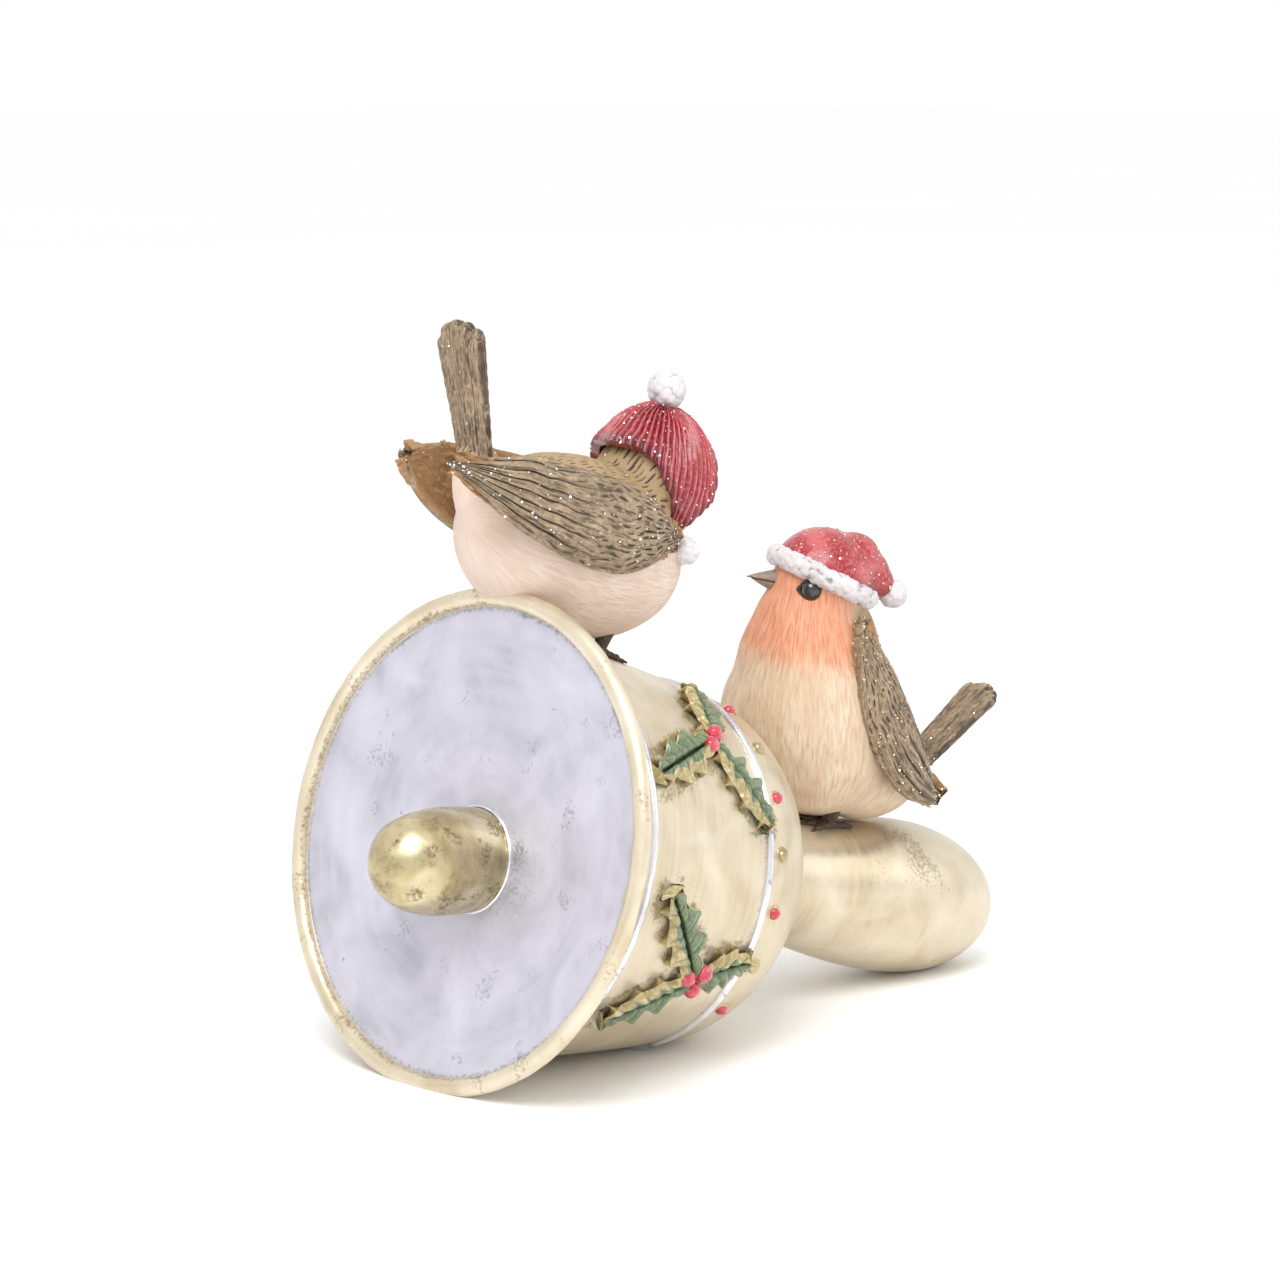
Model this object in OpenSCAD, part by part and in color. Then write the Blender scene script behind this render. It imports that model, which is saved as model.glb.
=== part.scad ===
// Christmas bell ornament: a hand bell lying on its side, with two robins in
// knitted hats. Cast resin pieces on steel pins. Millimetres, +Z up, +X from
// the mouth to the handle, origin under the middle of the ornament.

/* [Bell] */
// Radius of the mouth, over the rolled lip
mouth_r = 44; // [38:1:54]
// Width of the rolled lip, from its outside to the edge of the dish
lip_w = 3.4; // [2.6:0.1:4.4]
// Radius of the waist, behind the flared lip
waist_r = 37; // [34:0.5:40]
// Distance from the mouth to the waist
waist_x = 10; // [8:0.5:13]
// Radius of the bell at its shoulder
shoulder_r = 32.8; // [29:0.1:36]
// Distance from the mouth to the shoulder
shoulder_x = 44; // [40:1:54]
// Length of the domed crown beyond the shoulder
crown_len = 26.5; // [22:0.5:34]
// Thickness of the cast wall
wall_t = 4.5; // [3.5:0.1:6]
// Thickness of the crown, where the handle is pinned
crown_t = 9; // [7:0.5:12]
// Depth of the flat ground on the lip, on which the bell lies
lip_flat = 1; // [0.6:0.1:1.6]

/* [Mouth] */
// Depth of the dish that closes the mouth
dish_depth = 2.5; // [1.5:0.5:6]
// Thickness of the dish
dish_t = 4.2; // [3:0.1:6]
// Length of the clapper's rounded end, from its widest place
clapper_len = 13.8; // [11:0.2:17]
// Distance from the clapper's widest place to the deepest part of the dish
clapper_stand = 8.2; // [7:0.1:10.5]
// Radius of the clapper
clapper_r = 9.3; // [7.5:0.1:11.2]
// Distance from the bell's axis down to the middle of the clapper's seat
clapper_drop = 3; // [0:0.5:6]
// Droop of the clapper below the bell's axis, in degrees
clapper_droop = 8; // [4:0.5:16]
// Diameter of the clapper's pin
clapper_pin_d = 3.5; // [2.5:0.1:5]

/* [Handle] */
// Radius of the handle's neck
neck_r = 8; // [6.5:0.1:9.6]
// Radius of the handle's knob
knob_r = 14.7; // [12:0.1:17.6]
// Distance from the mouth to the widest place of the knob
knob_x = 114; // [104:1:130]
// Length of the rounded end of the knob
knob_end = 25.7; // [20:0.5:31]
// Diameter of the steel dowel in the handle
dowel_d = 6; // [4:0.1:7.2]
// Length of the dowel inside the handle
dowel_grip = 26; // [20:1:32]

/* [Trim] */
// Distance from the mouth to the first silver band
mouth_band_x = 9.5; // [8:0.5:12]
// Distance from the mouth to the silver band on the shoulder
shoulder_band_x = 43.5; // [38:0.5:46]
// Radius of the round section of a silver band
band_r = 0.8; // [0.6:0.05:1.1]
// Radius of a bead
bead_r = 1.15; // [0.8:0.05:1.6]
// Beads in the ring, red and gold in turn
bead_count = 20; // [12:2:24]
// Gap between the shoulder band and the bead ring
bead_gap = 2.6; // [1.5:0.1:4]
// Thickness of a holly leaf
leaf_t = 1.8; // [1.2:0.1:2.6]
// Width of a holly leaf
leaf_w = 9; // [7:0.5:10.8]
// Radius of a holly berry
berry_r = 1.6; // [1.2:0.1:2.1]
// Distance from the mouth to the middle of a holly sprig
holly_x = 30; // [27:0.5:32]

/* [Rim robin] */
// Distance from the mouth to the feet, along the bell's axis
rim_robin_x = 29; // [26:0.5:33]
// Height of the middle of the body above the feet
rim_robin_rise = 20.8; // [19.6:0.2:25]
// Half the length of the body
rim_robin_len = 24; // [21:0.5:28]
// Radius of the body
rim_robin_r = 16; // [14:0.2:18]
// How far the body dips towards the breast, in degrees
rim_robin_pitch = 18; // [10:1:24]
// Turn of the heading from the bell's axis, in degrees
rim_robin_yaw = -6; // [-15:1:15]
// Length of the tail
rim_tail_len = 33; // [28:0.5:39]

/* [Handle robin] */
// Distance from the mouth to the feet, along the bell's axis
handle_robin_x = 91; // [88:0.5:97]
// Height of the middle of the body above the feet
handle_robin_rise = 17.6; // [16.6:0.2:22]
// Radius of the body
handle_robin_r = 16.8; // [15:0.2:18.4]
// Height of the middle of the head above the middle of the body
handle_robin_neck = 25.8; // [23:0.2:30]
// Radius of the head
handle_robin_head_r = 9.3; // [8:0.1:10.6]
// Heading of the body, in degrees from the bell's axis
handle_robin_yaw = 160; // [150:1:175]
// Further turn of the head, in degrees
handle_robin_look = -10; // [-25:1:15]
// Length of the tail
handle_tail_len = 22; // [19:0.5:26]

/* [Robin details] */
// Radius of the rim robin's head
rim_head_r = 10.3; // [9:0.1:11.4]
// Thickness of a wing
wing_t = 2.2; // [1.6:0.1:3]
// Thickness of a tail
tail_t = 4; // [3:0.1:5]
// Length of a beak
beak_len = 4.8; // [4:0.1:6]
// Radius of a glass eye
eye_r = 1.9; // [1.5:0.1:2.4]
// Diameter of a leg wire
leg_d = 2; // [1.6:0.1:2.6]
// Distance of each foot from the middle of the robin
foot_spread = 4.2; // [3.4:0.1:5.2]
// Thickness of a hat's felt
hat_t = 1.3; // [0.9:0.1:2]
// Radius of a large pompom
pompom_r = 3.3; // [2.6:0.1:4]
// Radius of a small pompom
small_pompom_r = 2.5; // [2:0.1:3]

/* [Hidden] */
$fn = 144;

// Length of cuts that have to pass right through
far = 400;

// The rolled lip is a half round; the dish starts at its inner edge
lip_r = lip_w / 2;
dish_r = mouth_r - lip_w;
dish_seat_r = waist_r - wall_t;
flare_bend = 1.2;
taper_swell = 0.3;
dowel_sink = crown_t - 1;
// The crown ends in a flat that seats the handle
seat_r = neck_r + 1.2;
crown_x = shoulder_x + crown_len * sqrt(1 - pow(seat_r / shoulder_r, 2));
cavity_r = shoulder_r - wall_t;
cavity_end = crown_len - crown_t;

// The bell lies on the flat of its lip and on the underside of the knob. The
// ground is the line from the lip's flat that touches the knob's ellipse.
knob_flat = 0.25;
lip_low = mouth_r - lip_flat;
knob_low = knob_r - knob_flat;
ground_a = knob_x * knob_x - knob_end * knob_end;
ground_b = lip_low * knob_x;
ground_c = lip_low * lip_low - knob_low * knob_low;
ground_slope = (ground_b - sqrt(ground_b * ground_b - ground_a * ground_c)) / ground_a;
tilt = atan(ground_slope);
lift = lip_low * cos(tilt);

// The origin lies under the middle of the length, which runs from the lip or the
// clapper, whichever reaches further, to the knob
clapper_seat = [lip_r + dish_depth, 0, -clapper_drop];
clapper_slope = tilt - clapper_droop;
lip_reach = (mouth_r - lip_r) * sin(tilt) - lip_r * cos(tilt) + lip_r;
clapper_reach = clapper_stand * cos(clapper_slope)
    - clapper_seat[0] * cos(tilt) - clapper_seat[2] * sin(tilt)
    + sqrt(pow(clapper_len * cos(clapper_slope), 2) + pow(clapper_r * sin(clapper_slope), 2));
knob_reach = knob_x * cos(tilt)
    + sqrt(pow(knob_end * cos(tilt), 2) + pow(knob_r * sin(tilt), 2));
shift = (max(lip_reach, clapper_reach) - knob_reach) / 2;

// Radius of the outside of the bell at a distance x from the mouth
function outer_r(x) =
    x < waist_x ? waist_r + (mouth_r - waist_r) * pow(1 - (x - lip_r) / (waist_x - lip_r), flare_bend)
    : x < shoulder_x ? waist_r + (shoulder_r - waist_r) * (x - waist_x) / (shoulder_x - waist_x)
        + taper_swell * sin(180 * (x - waist_x) / (shoulder_x - waist_x))
    : shoulder_r * sqrt(max(0, 1 - pow((x - shoulder_x) / crown_len, 2)));

// Radius of the handle at a distance x from the mouth
function handle_r(x) =
    x < knob_x ? neck_r + (knob_r - neck_r) * sin(90 * (x - crown_x) / (knob_x - crown_x))
    : knob_r * sqrt(max(0, 1 - pow((x - knob_x) / knob_end, 2)));

// Front face of the dish at a radius r
function dish_x(r) = lip_r + dish_depth * (1 - pow(r / dish_r, 2));

// Outline of the bell's outside from the lip's inner edge to the crown, as [radius, x]
function bell_outline(grow = 0) = concat(
    [for (a = [-90:15:75]) [mouth_r - lip_r + (lip_r + grow) * sin(a), lip_r - (lip_r + grow) * cos(a)]],
    [for (i = [0:8]) let (x = lip_r + (waist_x - lip_r) * i / 8) [outer_r(x) + grow, x]],
    [for (i = [1:7]) let (x = waist_x + (shoulder_x - waist_x) * i / 7) [outer_r(x) + grow, x]],
    [for (a = [8:8:72]) let (x = shoulder_x + crown_len * sin(a))
        if (x < crown_x - 0.5) [outer_r(x) + grow, x]],
    [[seat_r + grow, crown_x]]
);

// Stands a [radius, x] outline up as a solid of revolution about the X axis
module spin_x(points) { rotate([0, 90, 0]) rotate_extrude() polygon(points); }

// Egg about the X axis, centred on its widest place
module egg(back, front, r) {
    spin_x(concat(
        [for (a = [-90:9:0]) [r * cos(a), back * sin(a)]],
        [for (a = [9:9:90]) [r * cos(a), front * sin(a)]]));
}

// Places children in the bell's frame: origin in the mouth, +X along the axis
module bell_frame() { translate([shift, 0, lift]) rotate([0, tilt, 0]) children(); }

// Removes whatever lies below the ground
module above_ground() {
    difference() {
        children();
        translate([-far / 2, -far / 2, -far]) cube(far);
    }
}

// Everything inside the bell's outside, grown by a margin, without the handle
module bell_solid(grow = 0) {
    bell_frame() spin_x(concat([[0, lip_r - grow]], bell_outline(grow), [[0, crown_x]]));
}

module handle_solid() {
    bell_frame() spin_x(concat(
        [[0, crown_x]],
        [for (i = [0:14]) let (x = crown_x + (knob_x - crown_x) * i / 14) [handle_r(x), x]],
        [for (a = [8:8:82]) [knob_r * cos(a), knob_x + knob_end * sin(a)]],
        [[0, knob_x + knob_end]]));
}

module dowel_solid() {
    bell_frame() translate([crown_x - dowel_sink, 0, 0]) rotate([0, 90, 0])
        cylinder(d = dowel_d, h = dowel_sink + dowel_grip);
}

// Round silver band, half sunk in the bell
module band_ring(x) {
    bell_frame() rotate([0, 90, 0]) rotate_extrude() translate([outer_r(x), x]) circle(band_r);
}

// ---- Bell ----

module bell_body() {
    seat_back = dish_x(dish_seat_r) + dish_t;
    color("#d8cfa0") above_ground() difference() {
        bell_frame() spin_x(concat(
            bell_outline(),
            [[0, crown_x], [0, shoulder_x + cavity_end]],
            [for (a = [80:-10:0]) [cavity_r * cos(a), shoulder_x + cavity_end * sin(a)]],
            [[dish_seat_r, seat_back]]));
        band_ring(mouth_band_x);
        band_ring(shoulder_band_x);
        dowel_solid();
        rim_robin_leg_wire(1);
        rim_robin_leg_wire(-1);
        beads(0);
        beads(1);
        for (side = [-1, 1]) {
            berry_cluster(side * upper_angle, upper_berries);
            berry_cluster(side * lower_angle, lower_berries);
        }
    }
}

// Boss on the back of the dish, which holds the clapper's pin
boss_len = 6;
pin_cover = 2;

module mouth_dish() {
    boss_r = clapper_pin_d / 2 + 4.25;
    boss_x = lip_r + dish_depth + dish_t / 2;
    color("#c9c8dc") difference() {
        bell_frame() union() {
            spin_x(concat(
                [for (i = [0:12]) let (r = dish_r * i / 12) [r, dish_x(r)]],
                [for (i = [12:-1:0]) let (r = dish_seat_r * i / 12) [r, dish_x(r) + dish_t]]));
            translate([boss_x, 0, -clapper_drop]) rotate([0, 90, 0])
                cylinder(r = boss_r, h = dish_t / 2 + boss_len);
        }
        clapper_pin_solid();
    }
}

// Places children in the clapper's frame: origin at its widest place, +X along it
// into the dish
module clapper_frame() {
    bell_frame() translate(clapper_seat) rotate([0, -clapper_droop, 0])
        translate([-clapper_stand, 0, 0]) children();
}

// The pin runs from inside the clapper, through the dish, into its boss
module clapper_pin_solid() {
    clapper_frame() rotate([0, 90, 0])
        cylinder(d = clapper_pin_d, h = clapper_stand + dish_t + boss_len - pin_cover);
}

// The clapper's back runs nearly straight into the dish, which it is glued to
module clapper() {
    back_len = 4.5 * clapper_stand;
    color("#cdbb83") difference() {
        clapper_frame() egg(clapper_len, back_len, clapper_r);
        bell_frame() spin_x(concat(
            [for (i = [0:12]) let (r = dish_r * i / 12) [r, dish_x(r)]],
            [[dish_r, 2 * back_len], [0, 2 * back_len]]));
        clapper_pin_solid();
    }
}

module clapper_pin() { color("#9a9a9a") clapper_pin_solid(); }

module handle() {
    color("#d8cfa0") above_ground() difference() {
        handle_solid();
        dowel_solid();
        handle_robin_leg_wire(1);
        handle_robin_leg_wire(-1);
    }
}

module handle_dowel() { color("#9a9a9a") dowel_solid(); }

// ---- Trim ----

module mouth_band() { color("#c8c8c8") above_ground() band_ring(mouth_band_x); }

module shoulder_band() { color("#c8c8c8") above_ground() band_ring(shoulder_band_x); }

// Every second bead, from the given one. The bell lies on the lowest stretch,
// which has none.
module beads(first) {
    x = shoulder_band_x + band_r + bead_gap;
    turn = 360 / bead_count;
    start = -11;
    for (i = [first:2:bead_count - 1]) {
        angle = start - i * turn;
        height = lift - x * sin(tilt) + outer_r(x) * cos(angle) * cos(tilt);
        if (height > 3 * bead_r)
            bell_frame() rotate([angle, 0, 0]) translate([x, 0, outer_r(x)]) sphere(bead_r);
    }
}

module red_beads() { color("#b03040") beads(0); }

module gold_beads() { color("#cdbb83") beads(1); }

// One spiny leaf from the origin along +X: a pointed oval with bites out of its edge
module leaf_outline(length, width) {
    bite = length * 0.17;
    difference() {
        polygon(concat(
            [for (i = [0:12]) [length * i / 12, width / 2 * pow(sin(180 * i / 12), 0.7)]],
            [for (i = [11:-1:1]) [length * i / 12, -width / 2 * pow(sin(180 * i / 12), 0.7)]]));
        for (side = [-1, 1], i = [0:2])
            translate([length * (0.22 + 0.27 * i), side * width * (0.63 - 0.05 * i)]) circle(bite, $fn = 24);
    }
}

// Leaves that spread from one point of the bell. Each is [direction, length];
// a direction of 0 points to the handle and 90 runs up round the bell.
module holly(angle, leaves, count) {
    under = 12;
    stem_gap = 0.6;
    color("#4d6b3c") difference() {
        intersection() {
            bell_solid(leaf_t);
            bell_frame() translate([mouth_band_x, -far / 2, -far / 2])
                cube([shoulder_band_x - mouth_band_x, far, far]);
            bell_frame() rotate([angle, 0, 0]) translate([holly_x, 0, outer_r(holly_x) - under])
                for (leaf = leaves) rotate([0, 0, leaf[0]]) translate([stem_gap, 0, 0])
                    linear_extrude(height = under + 2 * leaf_t) leaf_outline(leaf[1], leaf_w);
        }
        bell_solid();
        band_ring(mouth_band_x);
        band_ring(shoulder_band_x);
        berry_cluster(angle, count);
    }
}

// Round berries in the middle of a sprig, set into the leaves and the bell
module berry_cluster(angle, count) {
    bell_frame() rotate([angle, 0, 0]) translate([holly_x, 0, outer_r(holly_x) + 0.8 * berry_r])
        for (i = [0:count - 1]) rotate([0, 0, 50 + 360 * i / count])
            translate([berry_r * (count > 2 ? 1.25 : 1.1), 0, 0]) sphere(berry_r);
}

// The two patterns of sprig, which take turns round the bell
upper_leaves = [[65, 16], [208, 21], [-47, 18]];
lower_leaves = [[133, 21], [212, 18.5], [14, 13.5]];
upper_berries = 2;
lower_berries = 3;
upper_angle = 48;
lower_angle = 118;

function mirrored(leaves) = [for (leaf = leaves) [-leaf[0], leaf[1]]];

module front_upper_holly() { holly(upper_angle, upper_leaves, upper_berries); }
module front_lower_holly() { holly(lower_angle, lower_leaves, lower_berries); }
module rear_upper_holly() { holly(-upper_angle, mirrored(upper_leaves), upper_berries); }
module rear_lower_holly() { holly(-lower_angle, mirrored(lower_leaves), lower_berries); }
module front_upper_berries() { color("#b5253a") berry_cluster(upper_angle, upper_berries); }
module front_lower_berries() { color("#b5253a") berry_cluster(lower_angle, lower_berries); }
module rear_upper_berries() { color("#b5253a") berry_cluster(-upper_angle, upper_berries); }
module rear_lower_berries() { color("#b5253a") berry_cluster(-lower_angle, lower_berries); }

// ---- Pieces that both robins have ----

// Where an eye sits on a head: degrees up, and depth
eye_rise = 8;
eye_sink = 0.8;
tail_feathers = 5;

// Eye bead in the side of a head, in the head's frame, turned away from the beak
module eye_ball(head_r, turn) {
    rotate([0, 0, turn]) rotate([0, -eye_rise, 0]) translate([head_r - eye_sink, 0, 0])
        sphere(eye_r);
}

// Pointed beak, in the head's frame
module beak_cone(head_r) {
    rotate([0, -12, 0]) translate([head_r - 1.5, 0, 0]) rotate([0, 90, 0])
        cylinder(r1 = 2.3, r2 = 0.5, h = beak_len + 1.5);
}

// Foot from the origin, flat in X and Y: three toes forward and one back. It
// reaches below the surface that it grips, which is then taken away.
module foot_plate() {
    toe_len = 4.8;
    grip = 1.6;
    translate([0, 0, -grip]) linear_extrude(height = grip + 1.1) {
        for (turn = [-32, 0, 32, 180]) rotate(turn)
            polygon([[0.3, -1], [toe_len - 0.7, -0.7], [toe_len, 0], [toe_len - 0.7, 0.7], [0.3, 1]]);
        circle(d = leg_d + 1.4);
    }
}

// Outline given in shares of two sizes
module scaled_polygon(shares, x_size, y_size) {
    polygon([for (p = shares) [p[0] * x_size, p[1] * y_size]]);
}

// Fan of tail feathers from the origin along +X, flat in X and Y
module tail_fan(length, root_w) {
    tip_w = 8.6;
    lap = 0.5;
    root_r = root_w / tail_feathers;
    tip_r = tip_w / tail_feathers / 1.3;
    for (i = [0:tail_feathers - 1]) {
        s = 2 * i / (tail_feathers - 1) - 1;
        tip = [length * (1 - 0.1 * abs(s)) - 2, s * tip_w / 2];
        translate([0, 0, -tail_t / 2 + lap * (i % 2)]) linear_extrude(height = tail_t - lap) {
            polygon([
                [0, s * root_w / 2 - root_r], [0, s * root_w / 2 + root_r],
                tip + [0, tip_r], tip - [0, tip_r]
            ]);
            translate(tip) circle(tip_r, $fn = 24);
        }
    }
}

// ---- Rim robin ----

rim_foot = [rim_robin_x, 0, outer_r(rim_robin_x)];
// The feet stand behind the robin's origin, up the slope of the bell's taper
rim_step = -6;
rim_slope = tilt + atan((waist_r - shoulder_r) / (shoulder_x - waist_x));
rim_rise = -rim_step * tan(rim_slope);
rim_sink = 3;
leg_rise = 9;

// Robin's frame: +X along its heading, +Z up, origin between its feet
module rim_robin_frame() {
    bell_frame() translate(rim_foot) rotate([0, -tilt, 0]) rotate([0, 0, rim_robin_yaw]) children();
}

module rim_body_frame() {
    rim_robin_frame() translate([-rim_robin_len / 3, 0, rim_robin_rise]) rotate([0, rim_robin_pitch, 0])
        children();
}

module rim_head_frame() {
    rim_robin_frame() translate([0.38 * rim_robin_len, 0, rim_robin_rise + 0.62 * rim_robin_r]) children();
}

// The hat covers the sides of the head, so the eyes look forwards out of it
module rim_robin_eye_solid(side) { rim_head_frame() eye_ball(rim_head_r, side * 30); }

// Leg wire from inside the body, through the foot, into the bell's wall
module rim_robin_leg_wire(side) {
    rim_robin_frame() translate([rim_step, side * foot_spread, rim_rise - rim_sink])
        cylinder(d = leg_d, h = rim_sink + leg_rise);
}

module rim_robin_foot(side) {
    color("#4a3328") difference() {
        rim_robin_frame() translate([rim_step, side * foot_spread, rim_rise])
            rotate([-side * 7, rim_slope, 0])
                foot_plate();
        bell_solid();
        rim_robin_leg_wire(side);
        rim_body_frame() egg(rim_robin_len, rim_robin_len, rim_robin_r);
    }
}

module rim_robin_core() {
    rim_body_frame() egg(rim_robin_len, rim_robin_len, rim_robin_r);
    rim_head_frame() sphere(rim_head_r);
}

// Rump, from which the tail stands up
module rim_robin_rump() { rim_robin_tail_frame() rotate([0, 90, 0]) cylinder(r1 = 5.5, r2 = 4.8, h = 10); }

module rim_robin_body() {
    color("#ecdccb") difference() {
        union() {
            rim_robin_core();
            rim_robin_rump();
        }
        bell_solid();
        rim_robin_leg_wire(1);
        rim_robin_leg_wire(-1);
        rim_robin_eye_solid(1);
        rim_robin_eye_solid(-1);
        rim_robin_flap_pompom_solid(1);
        rim_robin_flap_pompom_solid(-1);
        band_ring(mouth_band_x);
    }
}

// Side outline of the wing, from the tip forwards along the lower edge and back
// over the top, in shares of the body's half length and radius
rim_wing_outline = [
    [-1.52, 0.36], [-1.33, 0.19], [-0.98, -0.08], [-0.56, -0.25], [-0.1, -0.26], [0.28, -0.04],
    [0.58, 0.28], [0.54, 0.58], [0.2, 0.78], [-0.33, 0.8], [-0.88, 0.74], [-1.28, 0.6], [-1.5, 0.48]
];

module rim_robin_wing(side) {
    reach = 1.86 * rim_robin_len;
    fold = side > 0 ? [2, 1.2] : [0, 0];
    color("#6f5a41") difference() {
        intersection() {
            rim_body_frame() egg(reach + wing_t, rim_robin_len + wing_t, rim_robin_r + wing_t);
            rim_body_frame() rotate([90, 0, 0]) mirror([0, 0, side > 0 ? 1 : 0]) translate([0, 0, 2])
                linear_extrude(height = far) translate(fold)
                    scaled_polygon(rim_wing_outline, rim_robin_len, rim_robin_r);
        }
        rim_body_frame() egg(reach, rim_robin_len, rim_robin_r);
        rim_robin_core();
        rim_robin_rump();
        rim_robin_hat_solid();
        rim_robin_flap_pompom_solid(side);
        bell_solid();
    }
}

module rim_robin_tail_frame() {
    rim_body_frame() translate([-0.87 * rim_robin_len, 0, 1]) rotate([0, -rim_robin_pitch - 98, 0])
        children();
}

module rim_robin_tail() {
    color("#6f5a41") difference() {
        rim_robin_tail_frame() tail_fan(rim_tail_len, 7);
        rim_robin_core();
        rim_robin_rump();
    }
}

// Hat's frame: the head's, leaning forwards
module rim_hat_frame() { rim_head_frame() translate([0, 0, 0.5]) rotate([0, 14, 0]) children(); }

// How much taller than a ball the hat is
rim_hat_peak = 2.4;

// Outside of the hat, with the ear flaps that hang from its rim and a round
// opening for the face
module rim_robin_hat_solid() {
    hat_r = rim_head_r + hat_t;
    flap_len = rim_head_r - 0.8;
    face_r = rim_head_r - 2;
    rim_hat_frame() difference() {
        intersection() {
            rotate([0, -90, 0]) egg(hat_r, hat_r + rim_hat_peak, hat_r);
            union() {
                translate([-far / 2, -far / 2, -1.5]) cube([far, far, far]);
                rotate([90, 0, 0]) translate([0, 0, -far / 2]) linear_extrude(height = far)
                    polygon([[-6, 0], [-1.6, -flap_len], [1.6, -flap_len], [6, 0]]);
            }
        }
        translate([0, 0, -1]) rotate([0, 90, 0]) cylinder(r = face_r, h = far);
    }
}

module rim_robin_hat() {
    color("#a8323c") difference() {
        rim_robin_hat_solid();
        rim_robin_core();
        rim_robin_flap_pompom_solid(1);
        rim_robin_flap_pompom_solid(-1);
    }
}

module rim_robin_pompom() {
    color("#f1efec") difference() {
        rim_hat_frame() translate([0, 0, rim_head_r + hat_t + rim_hat_peak + 0.75 * pompom_r])
            sphere(pompom_r);
        rim_robin_hat_solid();
    }
}

module rim_robin_flap_pompom_solid(side) {
    rim_head_frame() translate([-1, side * 0.69 * rim_robin_r, -rim_head_r - 0.4]) sphere(small_pompom_r);
}

module rim_robin_flap_pompom(side) { color("#f1efec") rim_robin_flap_pompom_solid(side); }

module rim_robin_eye(side) { color("#17120f") rim_robin_eye_solid(side); }

module rim_robin_beak() {
    color("#85766a") difference() {
        rim_head_frame() beak_cone(rim_head_r);
        rim_robin_core();
    }
}

module rim_robin_leg(side) { color("#4a3328") rim_robin_leg_wire(side); }

module rim_robin_left_wing() { rim_robin_wing(1); }
module rim_robin_right_wing() { rim_robin_wing(-1); }
module rim_robin_left_eye() { rim_robin_eye(1); }
module rim_robin_right_eye() { rim_robin_eye(-1); }
module rim_robin_left_leg() { rim_robin_leg(1); }
module rim_robin_right_leg() { rim_robin_leg(-1); }
module rim_robin_left_foot() { rim_robin_foot(1); }
module rim_robin_right_foot() { rim_robin_foot(-1); }
module rim_robin_left_flap_pompom() { rim_robin_flap_pompom(1); }
module rim_robin_right_flap_pompom() { rim_robin_flap_pompom(-1); }

// ---- Handle robin ----

handle_foot = [handle_robin_x, 0, handle_r(handle_robin_x)];
handle_step = 0.5;
handle_sink = 6;

module handle_robin_frame() {
    bell_frame() translate(handle_foot) rotate([0, -tilt, 0]) rotate([0, 0, handle_robin_yaw]) children();
}

module handle_body_frame() { handle_robin_frame() translate([0, 0, handle_robin_rise]) children(); }

module handle_head_frame() {
    handle_body_frame() translate([0.5, 0, handle_robin_neck]) rotate([0, 0, handle_robin_look]) children();
}

module handle_robin_eye_solid(side) { handle_head_frame() eye_ball(handle_robin_head_r, side * 64); }

module handle_robin_leg_wire(side) {
    handle_robin_frame() translate([handle_step, side * foot_spread, -handle_sink])
        cylinder(d = leg_d, h = handle_sink + leg_rise);
}

module handle_robin_foot(side) {
    r = handle_r(handle_robin_x);
    drop = r - sqrt(r * r - foot_spread * foot_spread);
    color("#4a3328") difference() {
        handle_robin_frame() translate([handle_step, side * foot_spread, -drop]) rotate([-side * 20, -8, 0])
            foot_plate();
        handle_solid();
        handle_robin_leg_wire(side);
        handle_robin_core();
    }
}

// Plump upright body that leans forward into a full throat, with the head above
module handle_robin_core() {
    r = handle_robin_r;
    neck = handle_robin_neck;
    handle_body_frame() {
        rotate([0, 14, 0]) rotate([0, -90, 0]) spin_x([
            [0, -r], [0.4 * r, -0.93 * r], [0.72 * r, -0.72 * r], [0.93 * r, -0.4 * r], [r, 0],
            [0.98 * r, 0.3 * r], [0.9 * r, 0.6 * r], [0.78 * r, 0.9 * r], [0.66 * r, 1.15 * r],
            [0.45 * r, 1.35 * r], [0, 1.45 * r]]);
        // Rump, towards the tail
        translate([-7.5, 0, -6]) rotate([0, -20, 0]) egg(15, 12, 11.8);
    }
    handle_head_frame() sphere(handle_robin_head_r);
}

module handle_robin_body() {
    color("#ecd2b8") difference() {
        handle_robin_core();
        handle_robin_leg_wire(1);
        handle_robin_leg_wire(-1);
        handle_robin_eye_solid(1);
        handle_robin_eye_solid(-1);
        bell_solid();
        handle_solid();
    }
}

// Side outline of the wing, from the tip up its back edge and down the front, in
// shares of the body's radius
handle_wing_outline = [
    [-1.5, -0.88], [-1.28, -0.44], [-1.02, -0.06], [-0.74, 0.4], [-0.48, 0.86], [-0.3, 1.22], [-0.16, 1.2],
    [-0.05, 0.95], [0.02, 0.5], [-0.05, 0.05], [-0.25, -0.35], [-0.55, -0.68], [-0.95, -0.86]
];

module handle_robin_wing(side) {
    r = handle_robin_r;
    // The wings lie on a barrel about a line that leans back from the shoulders
    lean = 112;
    color("#6f5a41") difference() {
        intersection() {
            handle_body_frame() rotate([0, lean, 0]) egg(2.8 * r, 2.8 * r, r + wing_t);
            handle_body_frame() rotate([90, 0, 0]) mirror([0, 0, side > 0 ? 1 : 0]) translate([0, 0, 2])
                linear_extrude(height = far) scaled_polygon(handle_wing_outline, r, r);
        }
        handle_body_frame() rotate([0, lean, 0]) egg(2.7 * r, 2.7 * r, r);
        handle_robin_core();
        handle_robin_tail_solid();
    }
}

module handle_robin_tail_solid() {
    handle_body_frame() translate([-1.15 * handle_robin_r, 0, -9]) rotate([0, 180 + 41, 0])
        tail_fan(handle_tail_len, 7.5);
}

module handle_robin_tail() {
    color("#6f5a41") difference() {
        handle_robin_tail_solid();
        handle_robin_core();
    }
}

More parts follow.
